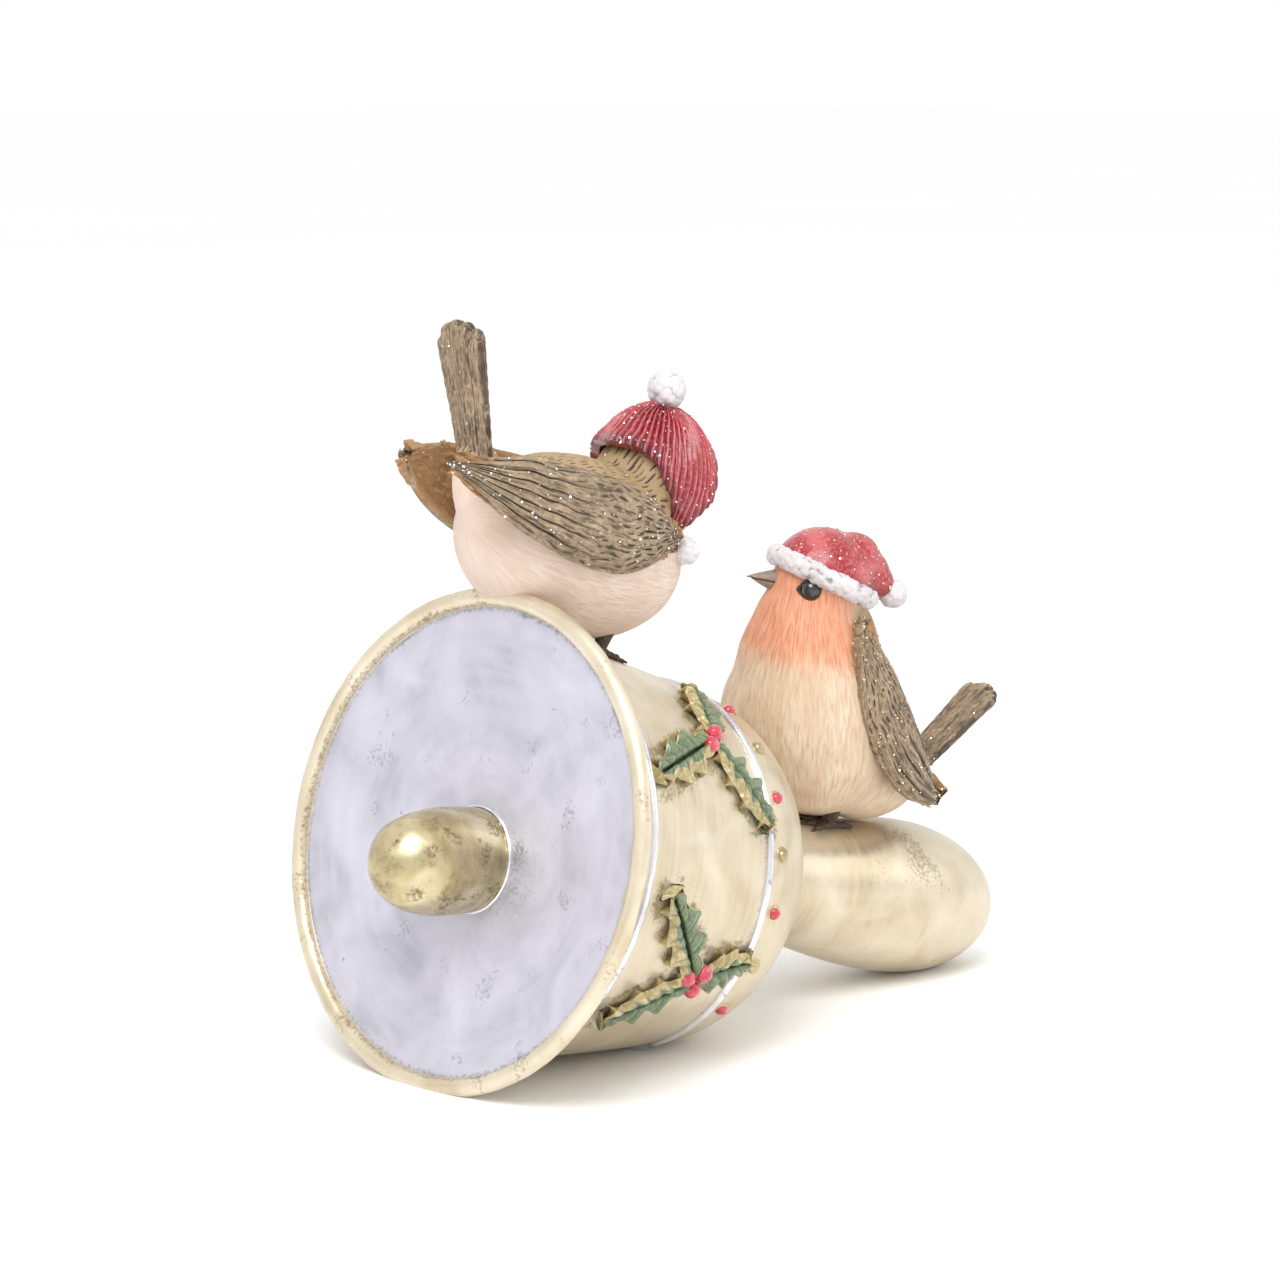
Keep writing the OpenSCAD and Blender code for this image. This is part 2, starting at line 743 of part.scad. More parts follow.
// Hat's frame: the head's, leaning back
module handle_hat_frame() { handle_head_frame() translate([-0.8, 0, 2.4]) rotate([0, -27, 0]) children(); }

module handle_robin_hat_solid() {
    hat_r = handle_robin_head_r + 0.2;
    handle_hat_frame() {
        intersection() {
            rotate([0, -90, 0]) egg(hat_r, hat_r - 0.5, hat_r);
            translate([-far / 2, -far / 2, 0]) cube(far);
        }
        // Point of the hat, folded down the back
        translate([-2.5, 0, 4]) rotate([0, -96, 0])
            cylinder(r1 = handle_robin_head_r - 3.3, r2 = 2, h = handle_robin_head_r + 1.7);
    }
}

module handle_robin_hat() {
    color("#a8323c") difference() {
        handle_robin_hat_solid();
        handle_robin_core();
        handle_robin_trim_solid();
    }
}

module handle_robin_trim_solid() {
    handle_hat_frame() rotate_extrude() translate([handle_robin_head_r - 0.2, 0]) circle(1.7);
}

module handle_robin_hat_trim() {
    color("#f1efec") difference() {
        handle_robin_trim_solid();
        handle_robin_core();
        handle_robin_eye_solid(1);
        handle_robin_eye_solid(-1);
    }
}

module handle_robin_pompom() {
    color("#f1efec") difference() {
        handle_hat_frame() translate([-handle_robin_head_r - 4.7, 0, 3]) sphere(small_pompom_r);
        handle_robin_hat_solid();
        handle_robin_trim_solid();
        handle_robin_core();
    }
}

module handle_robin_eye(side) { color("#17120f") handle_robin_eye_solid(side); }

module handle_robin_beak() {
    color("#85766a") difference() {
        handle_head_frame() beak_cone(handle_robin_head_r);
        handle_robin_core();
    }
}

module handle_robin_leg(side) { color("#4a3328") handle_robin_leg_wire(side); }

module handle_robin_left_wing() { handle_robin_wing(1); }
module handle_robin_right_wing() { handle_robin_wing(-1); }
module handle_robin_left_eye() { handle_robin_eye(1); }
module handle_robin_right_eye() { handle_robin_eye(-1); }
module handle_robin_left_leg() { handle_robin_leg(1); }
module handle_robin_right_leg() { handle_robin_leg(-1); }
module handle_robin_left_foot() { handle_robin_foot(1); }
module handle_robin_right_foot() { handle_robin_foot(-1); }

bell_body();
mouth_dish();
clapper();
clapper_pin();
handle();
handle_dowel();
mouth_band();
shoulder_band();
red_beads();
gold_beads();
front_upper_holly();
front_lower_holly();
rear_upper_holly();
rear_lower_holly();
front_upper_berries();
front_lower_berries();
rear_upper_berries();
rear_lower_berries();
rim_robin_body();
rim_robin_left_wing();
rim_robin_right_wing();
rim_robin_tail();
rim_robin_beak();
rim_robin_left_eye();
rim_robin_right_eye();
rim_robin_left_leg();
rim_robin_right_leg();
rim_robin_left_foot();
rim_robin_right_foot();
rim_robin_hat();
rim_robin_pompom();
rim_robin_left_flap_pompom();
rim_robin_right_flap_pompom();
handle_robin_body();
handle_robin_left_wing();
handle_robin_right_wing();
handle_robin_tail();
handle_robin_beak();
handle_robin_left_eye();
handle_robin_right_eye();
handle_robin_left_leg();
handle_robin_right_leg();
handle_robin_left_foot();
handle_robin_right_foot();
handle_robin_hat();
handle_robin_hat_trim();
handle_robin_pompom();
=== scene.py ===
"""Christmas bell ornament in painted cast resin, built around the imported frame.

A hand bell lies on its side on its lip and its handle. One robin stands on the rim and
one on the handle, each in a hat. The classes hold their sizes in millimetres, in the
frame of the piece that they build, and place their meshes in metres at the end.
"""

import logging
import math
from dataclasses import dataclass
from enum import Enum
from typing import Callable, Sequence

import bpy
import numpy as np
from mathutils import Matrix, Vector, noise


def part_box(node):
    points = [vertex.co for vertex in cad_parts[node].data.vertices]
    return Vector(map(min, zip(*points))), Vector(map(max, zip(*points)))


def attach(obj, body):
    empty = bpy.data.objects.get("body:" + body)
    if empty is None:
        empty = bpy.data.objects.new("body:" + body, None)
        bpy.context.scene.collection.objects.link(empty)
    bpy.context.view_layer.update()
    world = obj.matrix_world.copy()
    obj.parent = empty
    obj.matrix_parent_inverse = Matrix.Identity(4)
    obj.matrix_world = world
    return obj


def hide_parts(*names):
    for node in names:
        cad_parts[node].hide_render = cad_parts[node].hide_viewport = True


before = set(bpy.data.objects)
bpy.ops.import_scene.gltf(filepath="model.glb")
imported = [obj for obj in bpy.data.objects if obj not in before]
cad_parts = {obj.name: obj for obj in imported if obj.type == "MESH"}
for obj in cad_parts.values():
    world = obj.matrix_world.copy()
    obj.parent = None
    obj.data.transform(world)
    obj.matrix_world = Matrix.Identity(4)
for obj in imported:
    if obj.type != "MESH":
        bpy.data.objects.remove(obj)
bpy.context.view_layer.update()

MM = 0.001
LOG = logging.getLogger("bell_ornament")


# ---- Geometry helpers ----


def turn(axis: str, degrees: float) -> Matrix:
    """A right-handed turn about one axis."""
    return Matrix.Rotation(math.radians(degrees), 4, axis)


def move(x: float, y: float, z: float) -> Matrix:
    """A shift by three lengths."""
    return Matrix.Translation((x, y, z))


def ease(low: float, high: float, values: np.ndarray) -> np.ndarray:
    """Rises smoothly from 0 at low to 1 at high."""
    share = np.clip((values - low) / (high - low), 0.0, 1.0)
    return share * share * (3.0 - 2.0 * share)


def scatter(values: np.ndarray, seed: float) -> np.ndarray:
    """A fixed, scattered share from 0 to 1 for each value."""
    return np.mod(np.sin(values * 127.1 + seed * 311.7) * 43758.5453, 1.0)


def wobble(points: np.ndarray, size: float, seed: float = 0.0) -> np.ndarray:
    """Smooth noise from about -1 to 1.

    Args:
        points: Places, one row each.
        size: Width of a lump, in the points' units.
        seed: Moves the pattern.

    Returns:
        One value for each point.
    """
    away = Vector((seed * 17.3, seed * -9.1, seed * 5.7))
    return np.array([noise.noise(Vector(p) / size + away) for p in points])


def bumps(points: np.ndarray, size: float, seed: float = 0.0) -> np.ndarray:
    """Round bumps with creases between them.

    Args:
        points: Places, one row each.
        size: Distance between bumps, in the points' units.
        seed: Moves the pattern.

    Returns:
        The distance from the nearest bump's middle, in shares of the size.
    """
    away = Vector((seed * 11.9, seed * 7.3, seed * -3.1))
    return np.array([noise.voronoi(Vector(p) / size + away)[0][0] for p in points])


def slits(along: np.ndarray, across: np.ndarray, length: float, gap: float, seed: float) -> np.ndarray:
    """Short carved slits in staggered, uneven rows, as a feather tool leaves them.

    Args:
        along: Distance with the feathers.
        across: Distance across the feathers.
        length: Distance from one slit to the next.
        gap: Distance between rows of slits.
        seed: Changes the stagger.

    Returns:
        The depth at each place, from 0 to 1.
    """
    row = np.floor(across / gap)
    step = along / length + scatter(row, seed)
    cell = row * 7.13 + np.floor(step) * 3.7
    first, last = 0.3 * scatter(cell, seed + 1.0), 0.7 + 0.3 * scatter(cell, seed + 2.0)
    spot = np.clip((np.mod(step, 1.0) - first) / (last - first), 0.0, 1.0)
    half = 0.3 * np.sin(math.pi * spot) ** 0.6 + 1e-4
    middle = 0.5 + 0.3 * (scatter(cell, seed + 3.0) - 0.5)
    depth = np.clip(1.0 - np.abs(np.mod(across / gap, 1.0) - middle) / half, 0.0, 1.0)
    return depth**0.8 * (0.55 + 0.45 * scatter(cell, seed + 4.0))


def rounded(points: Sequence[tuple[float, float]], passes: int = 3) -> np.ndarray:
    """Cuts the corners of an open outline until it is a smooth curve.

    Args:
        points: The outline's corners.
        passes: How often they are cut.

    Returns:
        The smooth outline, one row for each point.
    """
    line = np.array(points, float)
    for _ in range(passes):
        near = line[:-1] * 0.75 + line[1:] * 0.25
        far = line[:-1] * 0.25 + line[1:] * 0.75
        line = np.vstack([line[:1], np.stack([near, far], 1).reshape(-1, 2), line[-1:]])
    return line


# ---- The bench: meshes shaped with operators ----


def clear_bench() -> None:
    """Leaves edit mode and deselects everything."""
    if bpy.context.object and bpy.context.object.mode != "OBJECT":
        bpy.ops.object.mode_set(mode="OBJECT")
    bpy.ops.object.select_all(action="DESELECT")


class Clay:
    """One mesh on the bench, in millimetres in its own frame."""

    def __init__(self, obj: bpy.types.Object) -> None:
        """Takes over a new object."""
        self.obj = obj

    @classmethod
    def start(cls, primitive: Callable, **sizes: object) -> "Clay":
        """Adds a primitive and takes it over."""
        clear_bench()
        primitive(**sizes)
        return cls(bpy.context.object)

    @classmethod
    def ball(
        cls, radii: Sequence[float], at: Matrix = Matrix(), segments: int = 40, rings: int = 24
    ) -> "Clay":
        """A ball with three radii, set in place.

        Args:
            radii: Half lengths along X, Y and Z.
            at: The ball's place.
            segments: Faces round it.
            rings: Faces from pole to pole.

        Returns:
            The ball.
        """
        clay = cls.start(
            bpy.ops.mesh.primitive_uv_sphere_add, segments=segments, ring_count=rings, radius=1.0
        )
        clay.obj.scale = radii
        clay.use()
        bpy.ops.object.transform_apply(scale=True)
        clay.obj.data.transform(at)
        return clay

    def use(self) -> None:
        """Makes this the one selected object."""
        clear_bench()
        self.obj.select_set(True)
        bpy.context.view_layer.objects.active = self.obj

    @property
    def points(self) -> np.ndarray:
        """The mesh's points, one row each."""
        flat = np.zeros(len(self.obj.data.vertices) * 3)
        self.obj.data.vertices.foreach_get("co", flat)
        return flat.reshape(-1, 3)

    @points.setter
    def points(self, places: np.ndarray) -> None:
        self.obj.data.vertices.foreach_set("co", np.asarray(places, float).ravel())
        self.obj.data.update()

    @property
    def normals(self) -> np.ndarray:
        """The direction out of the surface at each point."""
        flat = np.zeros(len(self.obj.data.vertices) * 3)
        self.obj.data.vertices.foreach_get("normal", flat)
        return flat.reshape(-1, 3)

    def push(self, depths: np.ndarray) -> "Clay":
        """Moves each point out of the surface by its depth."""
        self.points = self.points + self.normals * np.asarray(depths)[:, None]
        return self

    def modify(self, kind: str, **settings: object) -> "Clay":
        """Adds one modifier and applies it.

        Args:
            kind: The modifier's type.
            **settings: The modifier's values.

        Returns:
            The same clay, for the next step.
        """
        self.use()
        modifier = self.obj.modifiers.new(kind.lower(), kind)
        for key, value in settings.items():
            setattr(modifier, key, value)
        bpy.ops.object.modifier_apply(modifier=modifier.name)
        return self

    def edit(self, operator: Callable, **settings: object) -> "Clay":
        """Runs one edit-mode operator on the whole mesh.

        Args:
            operator: The operator.
            **settings: The operator's values.

        Returns:
            The same clay, for the next step.
        """
        self.use()
        bpy.ops.object.mode_set(mode="EDIT")
        bpy.ops.mesh.select_all(action="SELECT")
        operator(**settings)
        bpy.ops.object.mode_set(mode="OBJECT")
        return self

    def face_out(self) -> "Clay":
        """Turns every face outwards."""
        return self.edit(bpy.ops.mesh.normals_make_consistent, inside=False)

    def face_to(self, directions: np.ndarray) -> "Clay":
        """Turns an open sheet over if its faces look against the directions."""
        if (self.normals * directions).sum() < 0.0:
            self.edit(bpy.ops.mesh.flip_normals)
        return self

    def cut(self, at: Sequence[float], keep: Sequence[float]) -> "Clay":
        """Cuts with a plane, keeps the side that keep points to, and closes the cut."""
        return self.edit(
            bpy.ops.mesh.bisect, plane_co=at, plane_no=keep, use_fill=True, clear_inner=True
        )

    def paint(self, name: str, values: np.ndarray) -> "Clay":
        """Stores a number, or three, at each point for the finish to read."""
        values = np.asarray(values, float)
        kind, field = ("FLOAT", "value") if values.ndim == 1 else ("FLOAT_VECTOR", "vector")
        layer = self.obj.data.attributes.get(name) or self.obj.data.attributes.new(name, kind, "POINT")
        layer.data.foreach_set(field, values.astype(np.float32).ravel())
        return self

    def blend(self, voxel: float, smooth: int, levels: int) -> "Clay":
        """Fuses what was joined into one skin and softens its creases."""
        self.modify("REMESH", mode="VOXEL", voxel_size=voxel)
        self.modify("SMOOTH", factor=0.5, iterations=smooth)
        return self.modify("SUBSURF", levels=levels, render_levels=levels)

    def place(self, at: Matrix) -> "Clay":
        """Moves the mesh from its own frame, in millimetres, to the row's, in metres."""
        self.obj.data.transform(Matrix.Scale(MM, 4) @ at)
        return self


def join(clays: Sequence[Clay]) -> Clay:
    """Makes several meshes one object."""
    clays[0].use()
    for clay in clays[1:]:
        clay.obj.select_set(True)
    bpy.ops.object.join()
    return clays[0]


def turned(profile: Sequence[tuple[float, float, float]], segments: int, rings: int) -> Clay:
    """A solid of revolution about the X axis, as a lathe would turn it.

    Args:
        profile: Points [x, radius, share] from axis to axis. The share sets how many
            rings the stretch up to that point takes, for its length.
        segments: Steps round the axis.
        rings: Rings along the profile.

    Returns:
        The closed mesh, with a "brush" attribute that runs along and round it.
    """
    line = np.array(profile, float)
    steps = np.hypot(*np.diff(line[:, :2], axis=0).T)
    real = np.concatenate([[0.0], np.cumsum(steps)])
    told = np.concatenate([[0.0], np.cumsum(steps * line[1:, 2])])
    clay = Clay.start(
        bpy.ops.mesh.primitive_uv_sphere_add, segments=segments, ring_count=rings, radius=1.0
    )
    ball = clay.points
    share = np.arccos(np.clip(ball[:, 2], -1.0, 1.0)) / math.pi * told[-1]
    round_at = np.arctan2(ball[:, 1], ball[:, 0])
    x = np.interp(share, told, line[:, 0])
    radius = np.interp(share, told, line[:, 1])
    clay.points = np.stack([x, radius * np.cos(round_at), radius * np.sin(round_at)], 1)
    clay.face_out()
    brush = np.stack([np.interp(share, told, real), 40.0 * np.cos(round_at), 40.0 * np.sin(round_at)], 1)
    return clay.paint("brush", brush)


def finish_piece(clay: Clay, name: str, slot: str, looks: Sequence[bpy.types.Material], *nodes: str) -> None:
    """Names a finished piece, dresses it, and fixes it to the ornament.

    Args:
        clay: The mesh, already in the row's frame.
        name: The piece's name.
        slot: The record's material slot; not used.
        looks: Its materials, in the order of the mesh's slots.
        nodes: The CAD nodes that it stands for.
    """
    clay.use()
    bpy.ops.object.shade_smooth_by_angle(angle=math.radians(60.0))
    clay.obj.name = name
    clay.obj.data.name = name
    if not clay.obj.data.materials:
        for look in looks:
            clay.obj.data.materials.append(look)
    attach(clay.obj, "root")
    if nodes:
        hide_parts(*nodes)
    LOG.info("%s: %d faces", name, len(clay.obj.data.polygons))


# ---- Finishes ----


def linear(colour: str) -> tuple[float, float, float, float]:
    """An sRGB hex colour as linear values."""
    shares = [int(colour[i : i + 2], 16) / 255.0 for i in (1, 3, 5)]
    return (*[s / 12.92 if s <= 0.04045 else ((s + 0.055) / 1.055) ** 2.4 for s in shares], 1.0)


def add_node(
    tree: bpy.types.NodeTree, kind: str, settings: dict | None = None, links: dict | None = None
) -> bpy.types.Node:
    """Adds one node.

    Args:
        tree: The material's or the world's nodes.
        kind: The node's type, without its ShaderNode prefix.
        settings: Properties by name, input values by name or number, and "stops" for a ramp.
        links: Output sockets by the name or number of the input that each feeds.

    Returns:
        The node.
    """
    node = tree.nodes.new("ShaderNode" + kind)
    for key, value in (settings or {}).items():
        if key == "stops":
            ramp = node.color_ramp
            while len(ramp.elements) < len(value):
                ramp.elements.new(1.0)
            for element, (place, colour) in zip(ramp.elements, value):
                element.position = place
                element.color = linear(colour)
        elif isinstance(key, str) and hasattr(node, key):
            setattr(node, key, value)
        else:
            node.inputs[key].default_value = value
    for key, socket in (links or {}).items():
        tree.links.new(socket, node.inputs[key])
    return node


class Pot:
    """A material being mixed: its nodes, its shader and its coordinates in millimetres."""

    def __init__(self, name: str, **shader: object) -> None:
        """Starts a material and sets the shader's uniform values."""
        self.material = bpy.data.materials.new(name)
        self.material.use_nodes = True
        self.tree = self.material.node_tree
        self.shader = self.tree.nodes["Principled BSDF"]
        for key, value in shader.items():
            self.shader.inputs[key.replace("_", " ")].default_value = value
        where = add_node(self.tree, "TexCoord").outputs["Object"]
        scaled = add_node(self.tree, "VectorMath", {"operation": "SCALE", "Scale": 1 / MM}, {0: where})
        self.mm = scaled.outputs[0]

    def add(
        self, kind: str, settings: dict | None = None, links: dict | None = None
    ) -> bpy.types.Node:
        """Adds one node to this material."""
        return add_node(self.tree, kind, settings, links)

    def mix(self, share: object, low: object, high: object) -> object:
        """Mixes two colours, each a hex value or a socket, by a socket or a number.

        Args:
            share: How much of the second colour there is.
            low: The first colour.
            high: The second colour.

        Returns:
            The socket that holds the mixed colour.
        """
        settings: dict = {"data_type": "RGBA"}
        links: dict = {}
        for key, value in ((0, share), (6, low), (7, high)):
            if isinstance(value, str):
                settings[key] = linear(value)
            elif isinstance(value, (int, float)):
                settings[key] = value
            else:
                links[key] = value
        return self.add("Mix", settings, links).outputs[2]

    def finish(self, colour: object, height: object, depth_mm: float, strength: float) -> bpy.types.Material:
        """Feeds the shader its colour and its fine relief."""
        self.tree.links.new(colour, self.shader.inputs["Base Color"])
        bump = self.add("Bump", {"Strength": strength, "Distance": depth_mm * MM}, {"Height": height})
        self.tree.links.new(bump.outputs[0], self.shader.inputs["Normal"])
        return self.material


@dataclass(frozen=True)
class MetallicPaint:
    """Satin metallic paint on resin: brushed round the piece, worn through in places.

    Fine pigment gives broad, soft highlights; the antique wash stays where "wear" is, and the same mark also
    lays painted shade in creases, beside the clapper and on the handle under the robin.
    """

    name: str
    pale: str
    body: str
    deep: str
    wash: str
    metallic: float = 0.55
    rough: tuple[float, float] = (0.3, 0.46)
    patch_mm: float = 13.0
    stroke_mm: float = 1.3

    def build(self) -> bpy.types.Material:
        """Mixes the paint."""
        pot = Pot(self.name, Metallic=self.metallic)
        brush = pot.add("Attribute", {"attribute_name": "brush"}).outputs["Vector"]
        lay = pot.add("Mapping", {"Scale": (1 / self.stroke_mm, 0.05, 0.05)}, {0: brush}).outputs[0]
        strokes = pot.add(
            "TexNoise", {"Scale": 1.0, "Detail": 4.0, "Roughness": 0.6}, {"Vector": lay}
        ).outputs[0]
        cloud = pot.add(
            "TexNoise", {"Scale": 1 / self.patch_mm, "Detail": 3.0, "Distortion": 0.6}, {"Vector": pot.mm}
        )
        fine = pot.add("TexNoise", {"Scale": 1.6, "Detail": 3.0}, {"Vector": pot.mm}).outputs[0]
        tone = pot.add(
            "ValToRGB",
            {"stops": [(0.3, self.deep), (0.5, self.body), (0.72, self.pale)]},
            {0: cloud.outputs[0]},
        ).outputs[0]
        streak = pot.add("MapRange", {1: 0.35, 2: 0.75, 3: 0.0, 4: 0.5}, {0: strokes}).outputs[0]
        tone = pot.mix(streak, tone, self.pale)
        # This attribute marks the antique wash, and also painted shade in creases, beside the clapper and on
        # the handle under the robin.
        wear = pot.add("Attribute", {"attribute_name": "wear"}).outputs["Fac"]
        broken = pot.add("Math", {"operation": "ADD", 1: -0.5}, {0: fine}).outputs[0]
        edge = pot.add("Math", {"operation": "MULTIPLY_ADD", 1: 1.6}, {0: broken, 2: wear}).outputs[0]
        held = pot.add("MapRange", {1: 0.25, 2: 0.75, 3: 0.0, 4: 0.85}, {0: edge}).outputs[0]
        tone = pot.mix(held, tone, self.wash)
        dull = pot.add(
            "MapRange", {1: 0.3, 2: 0.7, 3: self.rough[0], 4: self.rough[1]}, {0: strokes}
        ).outputs[0]
        pot.tree.links.new(dull, pot.shader.inputs["Roughness"])
        relief = pot.add("Math", {"operation": "ADD"}, {0: strokes, 1: fine}).outputs[0]
        return pot.finish(tone, relief, 0.05, 0.35)


@dataclass(frozen=True)
class CarvedPaint:
    """Matt paint on carved resin: dark wash in the cuts, dry-brushed light on the ridges.

    "groove" holds how deep a place is cut, and on pompoms, trim and hat edges it holds painted shade; "crest"
    says where a ridge is dry-brushed, and "comb" runs with the strokes of a feather, whose width is
    stroke_mm.
    """

    name: str
    ridge: str
    base: str
    cut: str
    rough: float = 0.62
    grain_mm: float = 0.9
    coat: float = 0.0
    stroke_mm: float = 0.0

    def build(self) -> bpy.types.Material:
        """Mixes the paint."""
        pot = Pot(self.name, Roughness=self.rough, Coat_Weight=self.coat)
        grain = pot.add(
            "TexNoise", {"Scale": 1 / self.grain_mm, "Detail": 4.0, "Roughness": 0.65}, {"Vector": pot.mm}
        )
        cloud = pot.add("TexNoise", {"Scale": 1 / 5.0, "Detail": 2.0}, {"Vector": pot.mm}).outputs[0]
        dry = pot.add("MapRange", {1: 0.45, 2: 0.72, 3: 0.0, 4: 0.8}, {0: grain.outputs[0]}).outputs[0]
        deep = pot.add("MapRange", {1: 0.35, 2: 0.65, 3: 0.25, 4: 0.0}, {0: cloud}).outputs[0]
        tone = pot.mix(deep, pot.mix(dry, self.base, self.ridge), self.cut)
        groove = pot.add("Attribute", {"attribute_name": "groove"}).outputs["Fac"]
        held = pot.add("MapRange", {1: 0.12, 2: 0.6, 3: 0.0, 4: 0.9}, {0: groove}).outputs[0]
        crest = pot.add("Attribute", {"attribute_name": "crest"}).outputs["Fac"]
        tone = pot.mix(crest, pot.mix(held, tone, self.cut), self.ridge)
        if not self.stroke_mm:
            return pot.finish(tone, grain.outputs[0], 0.08, 0.4)
        comb = pot.add("Attribute", {"attribute_name": "comb"}).outputs["Vector"]
        lay = pot.add("Mapping", {"Scale": (0.3, 1 / self.stroke_mm, 0.2)}, {0: comb}).outputs[0]
        hairs = pot.add(
            "TexNoise", {"Scale": 1.0, "Detail": 2.0, "Distortion": 0.8}, {"Vector": lay}
        ).outputs[0]
        scratched = pot.add("MapRange", {1: 0.43, 2: 0.36, 3: 0.0, 4: 0.75}, {0: hairs}).outputs[0]
        lit = pot.add("MapRange", {1: 0.56, 2: 0.68, 3: 0.0, 4: 0.5}, {0: hairs}).outputs[0]
        return pot.finish(pot.mix(lit, pot.mix(scratched, tone, self.cut), self.ridge), hairs, 0.22, 0.6)


@dataclass(frozen=True)
class DownPaint:
    """Matt paint over combed down: soft strokes, with a bib and a brown mantle washed in.

    "comb" runs with the strokes, and "bib" and "mantle" say where those colours lie.
    """

    name: str
    cream: str
    shade: str
    bib: str
    bib_line: str
    mantle: str = "#a58c68"
    cut: str = "#38291c"
    stroke_mm: float = 0.42

    def build(self) -> bpy.types.Material:
        """Mixes the paint."""
        pot = Pot(self.name, Roughness=0.6)
        comb = pot.add("Attribute", {"attribute_name": "comb"}).outputs["Vector"]
        lay = pot.add("Mapping", {"Scale": (0.3, 1 / self.stroke_mm, 0.2)}, {0: comb}).outputs[0]
        hairs = pot.add(
            "TexNoise", {"Scale": 1.0, "Detail": 3.0, "Distortion": 0.5}, {"Vector": lay}
        ).outputs[0]
        cloud = pot.add("TexNoise", {"Scale": 1 / 9.0, "Detail": 2.0}, {"Vector": pot.mm}).outputs[0]
        line = pot.add("MapRange", {1: 0.42, 2: 0.66, 3: 0.0, 4: 0.75}, {0: hairs}).outputs[0]
        soft = pot.add("MapRange", {1: 0.35, 2: 0.65, 3: 0.0, 4: 0.6}, {0: cloud}).outputs[0]
        down = pot.mix(line, pot.mix(soft, self.cream, self.shade), self.shade)
        warm = pot.mix(line, self.bib, self.bib_line)
        bib = pot.add("Attribute", {"attribute_name": "bib"}).outputs["Fac"]
        ragged = pot.add("Math", {"operation": "MULTIPLY_ADD", 1: 0.5, 2: -0.25}, {0: hairs}).outputs[0]
        bib = pot.add("Math", {"operation": "ADD", "use_clamp": True}, {0: bib, 1: ragged}).outputs[0]
        tone = pot.mix(bib, down, warm)
        mantle = pot.add("Attribute", {"attribute_name": "mantle"}).outputs["Fac"]
        tone = pot.mix(mantle, tone, self.mantle)
        groove = pot.add("Attribute", {"attribute_name": "groove"}).outputs["Fac"]
        held = pot.add("MapRange", {1: 0.12, 2: 0.6, 3: 0.0, 4: 0.95}, {0: groove}).outputs[0]
        return pot.finish(pot.mix(held, tone, self.cut), hairs, 0.12, 0.45)


@dataclass(frozen=True)
class Enamel:
    """Glossy paint that has run smooth: deep colour under a clear, sharp highlight."""

    name: str
    colour: str
    light: str
    coat: float = 1.0

    def build(self) -> bpy.types.Material:
        """Mixes the paint."""
        pot = Pot(self.name, Roughness=0.22, Coat_Weight=self.coat, Coat_Roughness=0.05)
        cloud = pot.add("TexNoise", {"Scale": 1 / 1.1, "Detail": 3.0}, {"Vector": pot.mm}).outputs[0]
        thin = pot.add("MapRange", {1: 0.45, 2: 0.75, 3: 0.0, 4: 0.7}, {0: cloud}).outputs[0]
        return pot.finish(pot.mix(thin, self.colour, self.light), cloud, 0.06, 0.3)


@dataclass(frozen=True)
class Foil:
    """Bright metal: cut flakes of glitter foil, or drawn steel wire."""

    name: str
    colour: str
    tint: str
    rough: float = 0.18

    def build(self) -> bpy.types.Material:
        """Mixes the metal."""
        pot = Pot(self.name, Metallic=0.9, Roughness=self.rough)
        cloud = pot.add("TexNoise", {"Scale": 1 / 0.6, "Detail": 1.0}, {"Vector": pot.mm}).outputs[0]
        return pot.finish(pot.mix(cloud, self.colour, self.tint), cloud, 0.02, 0.1)


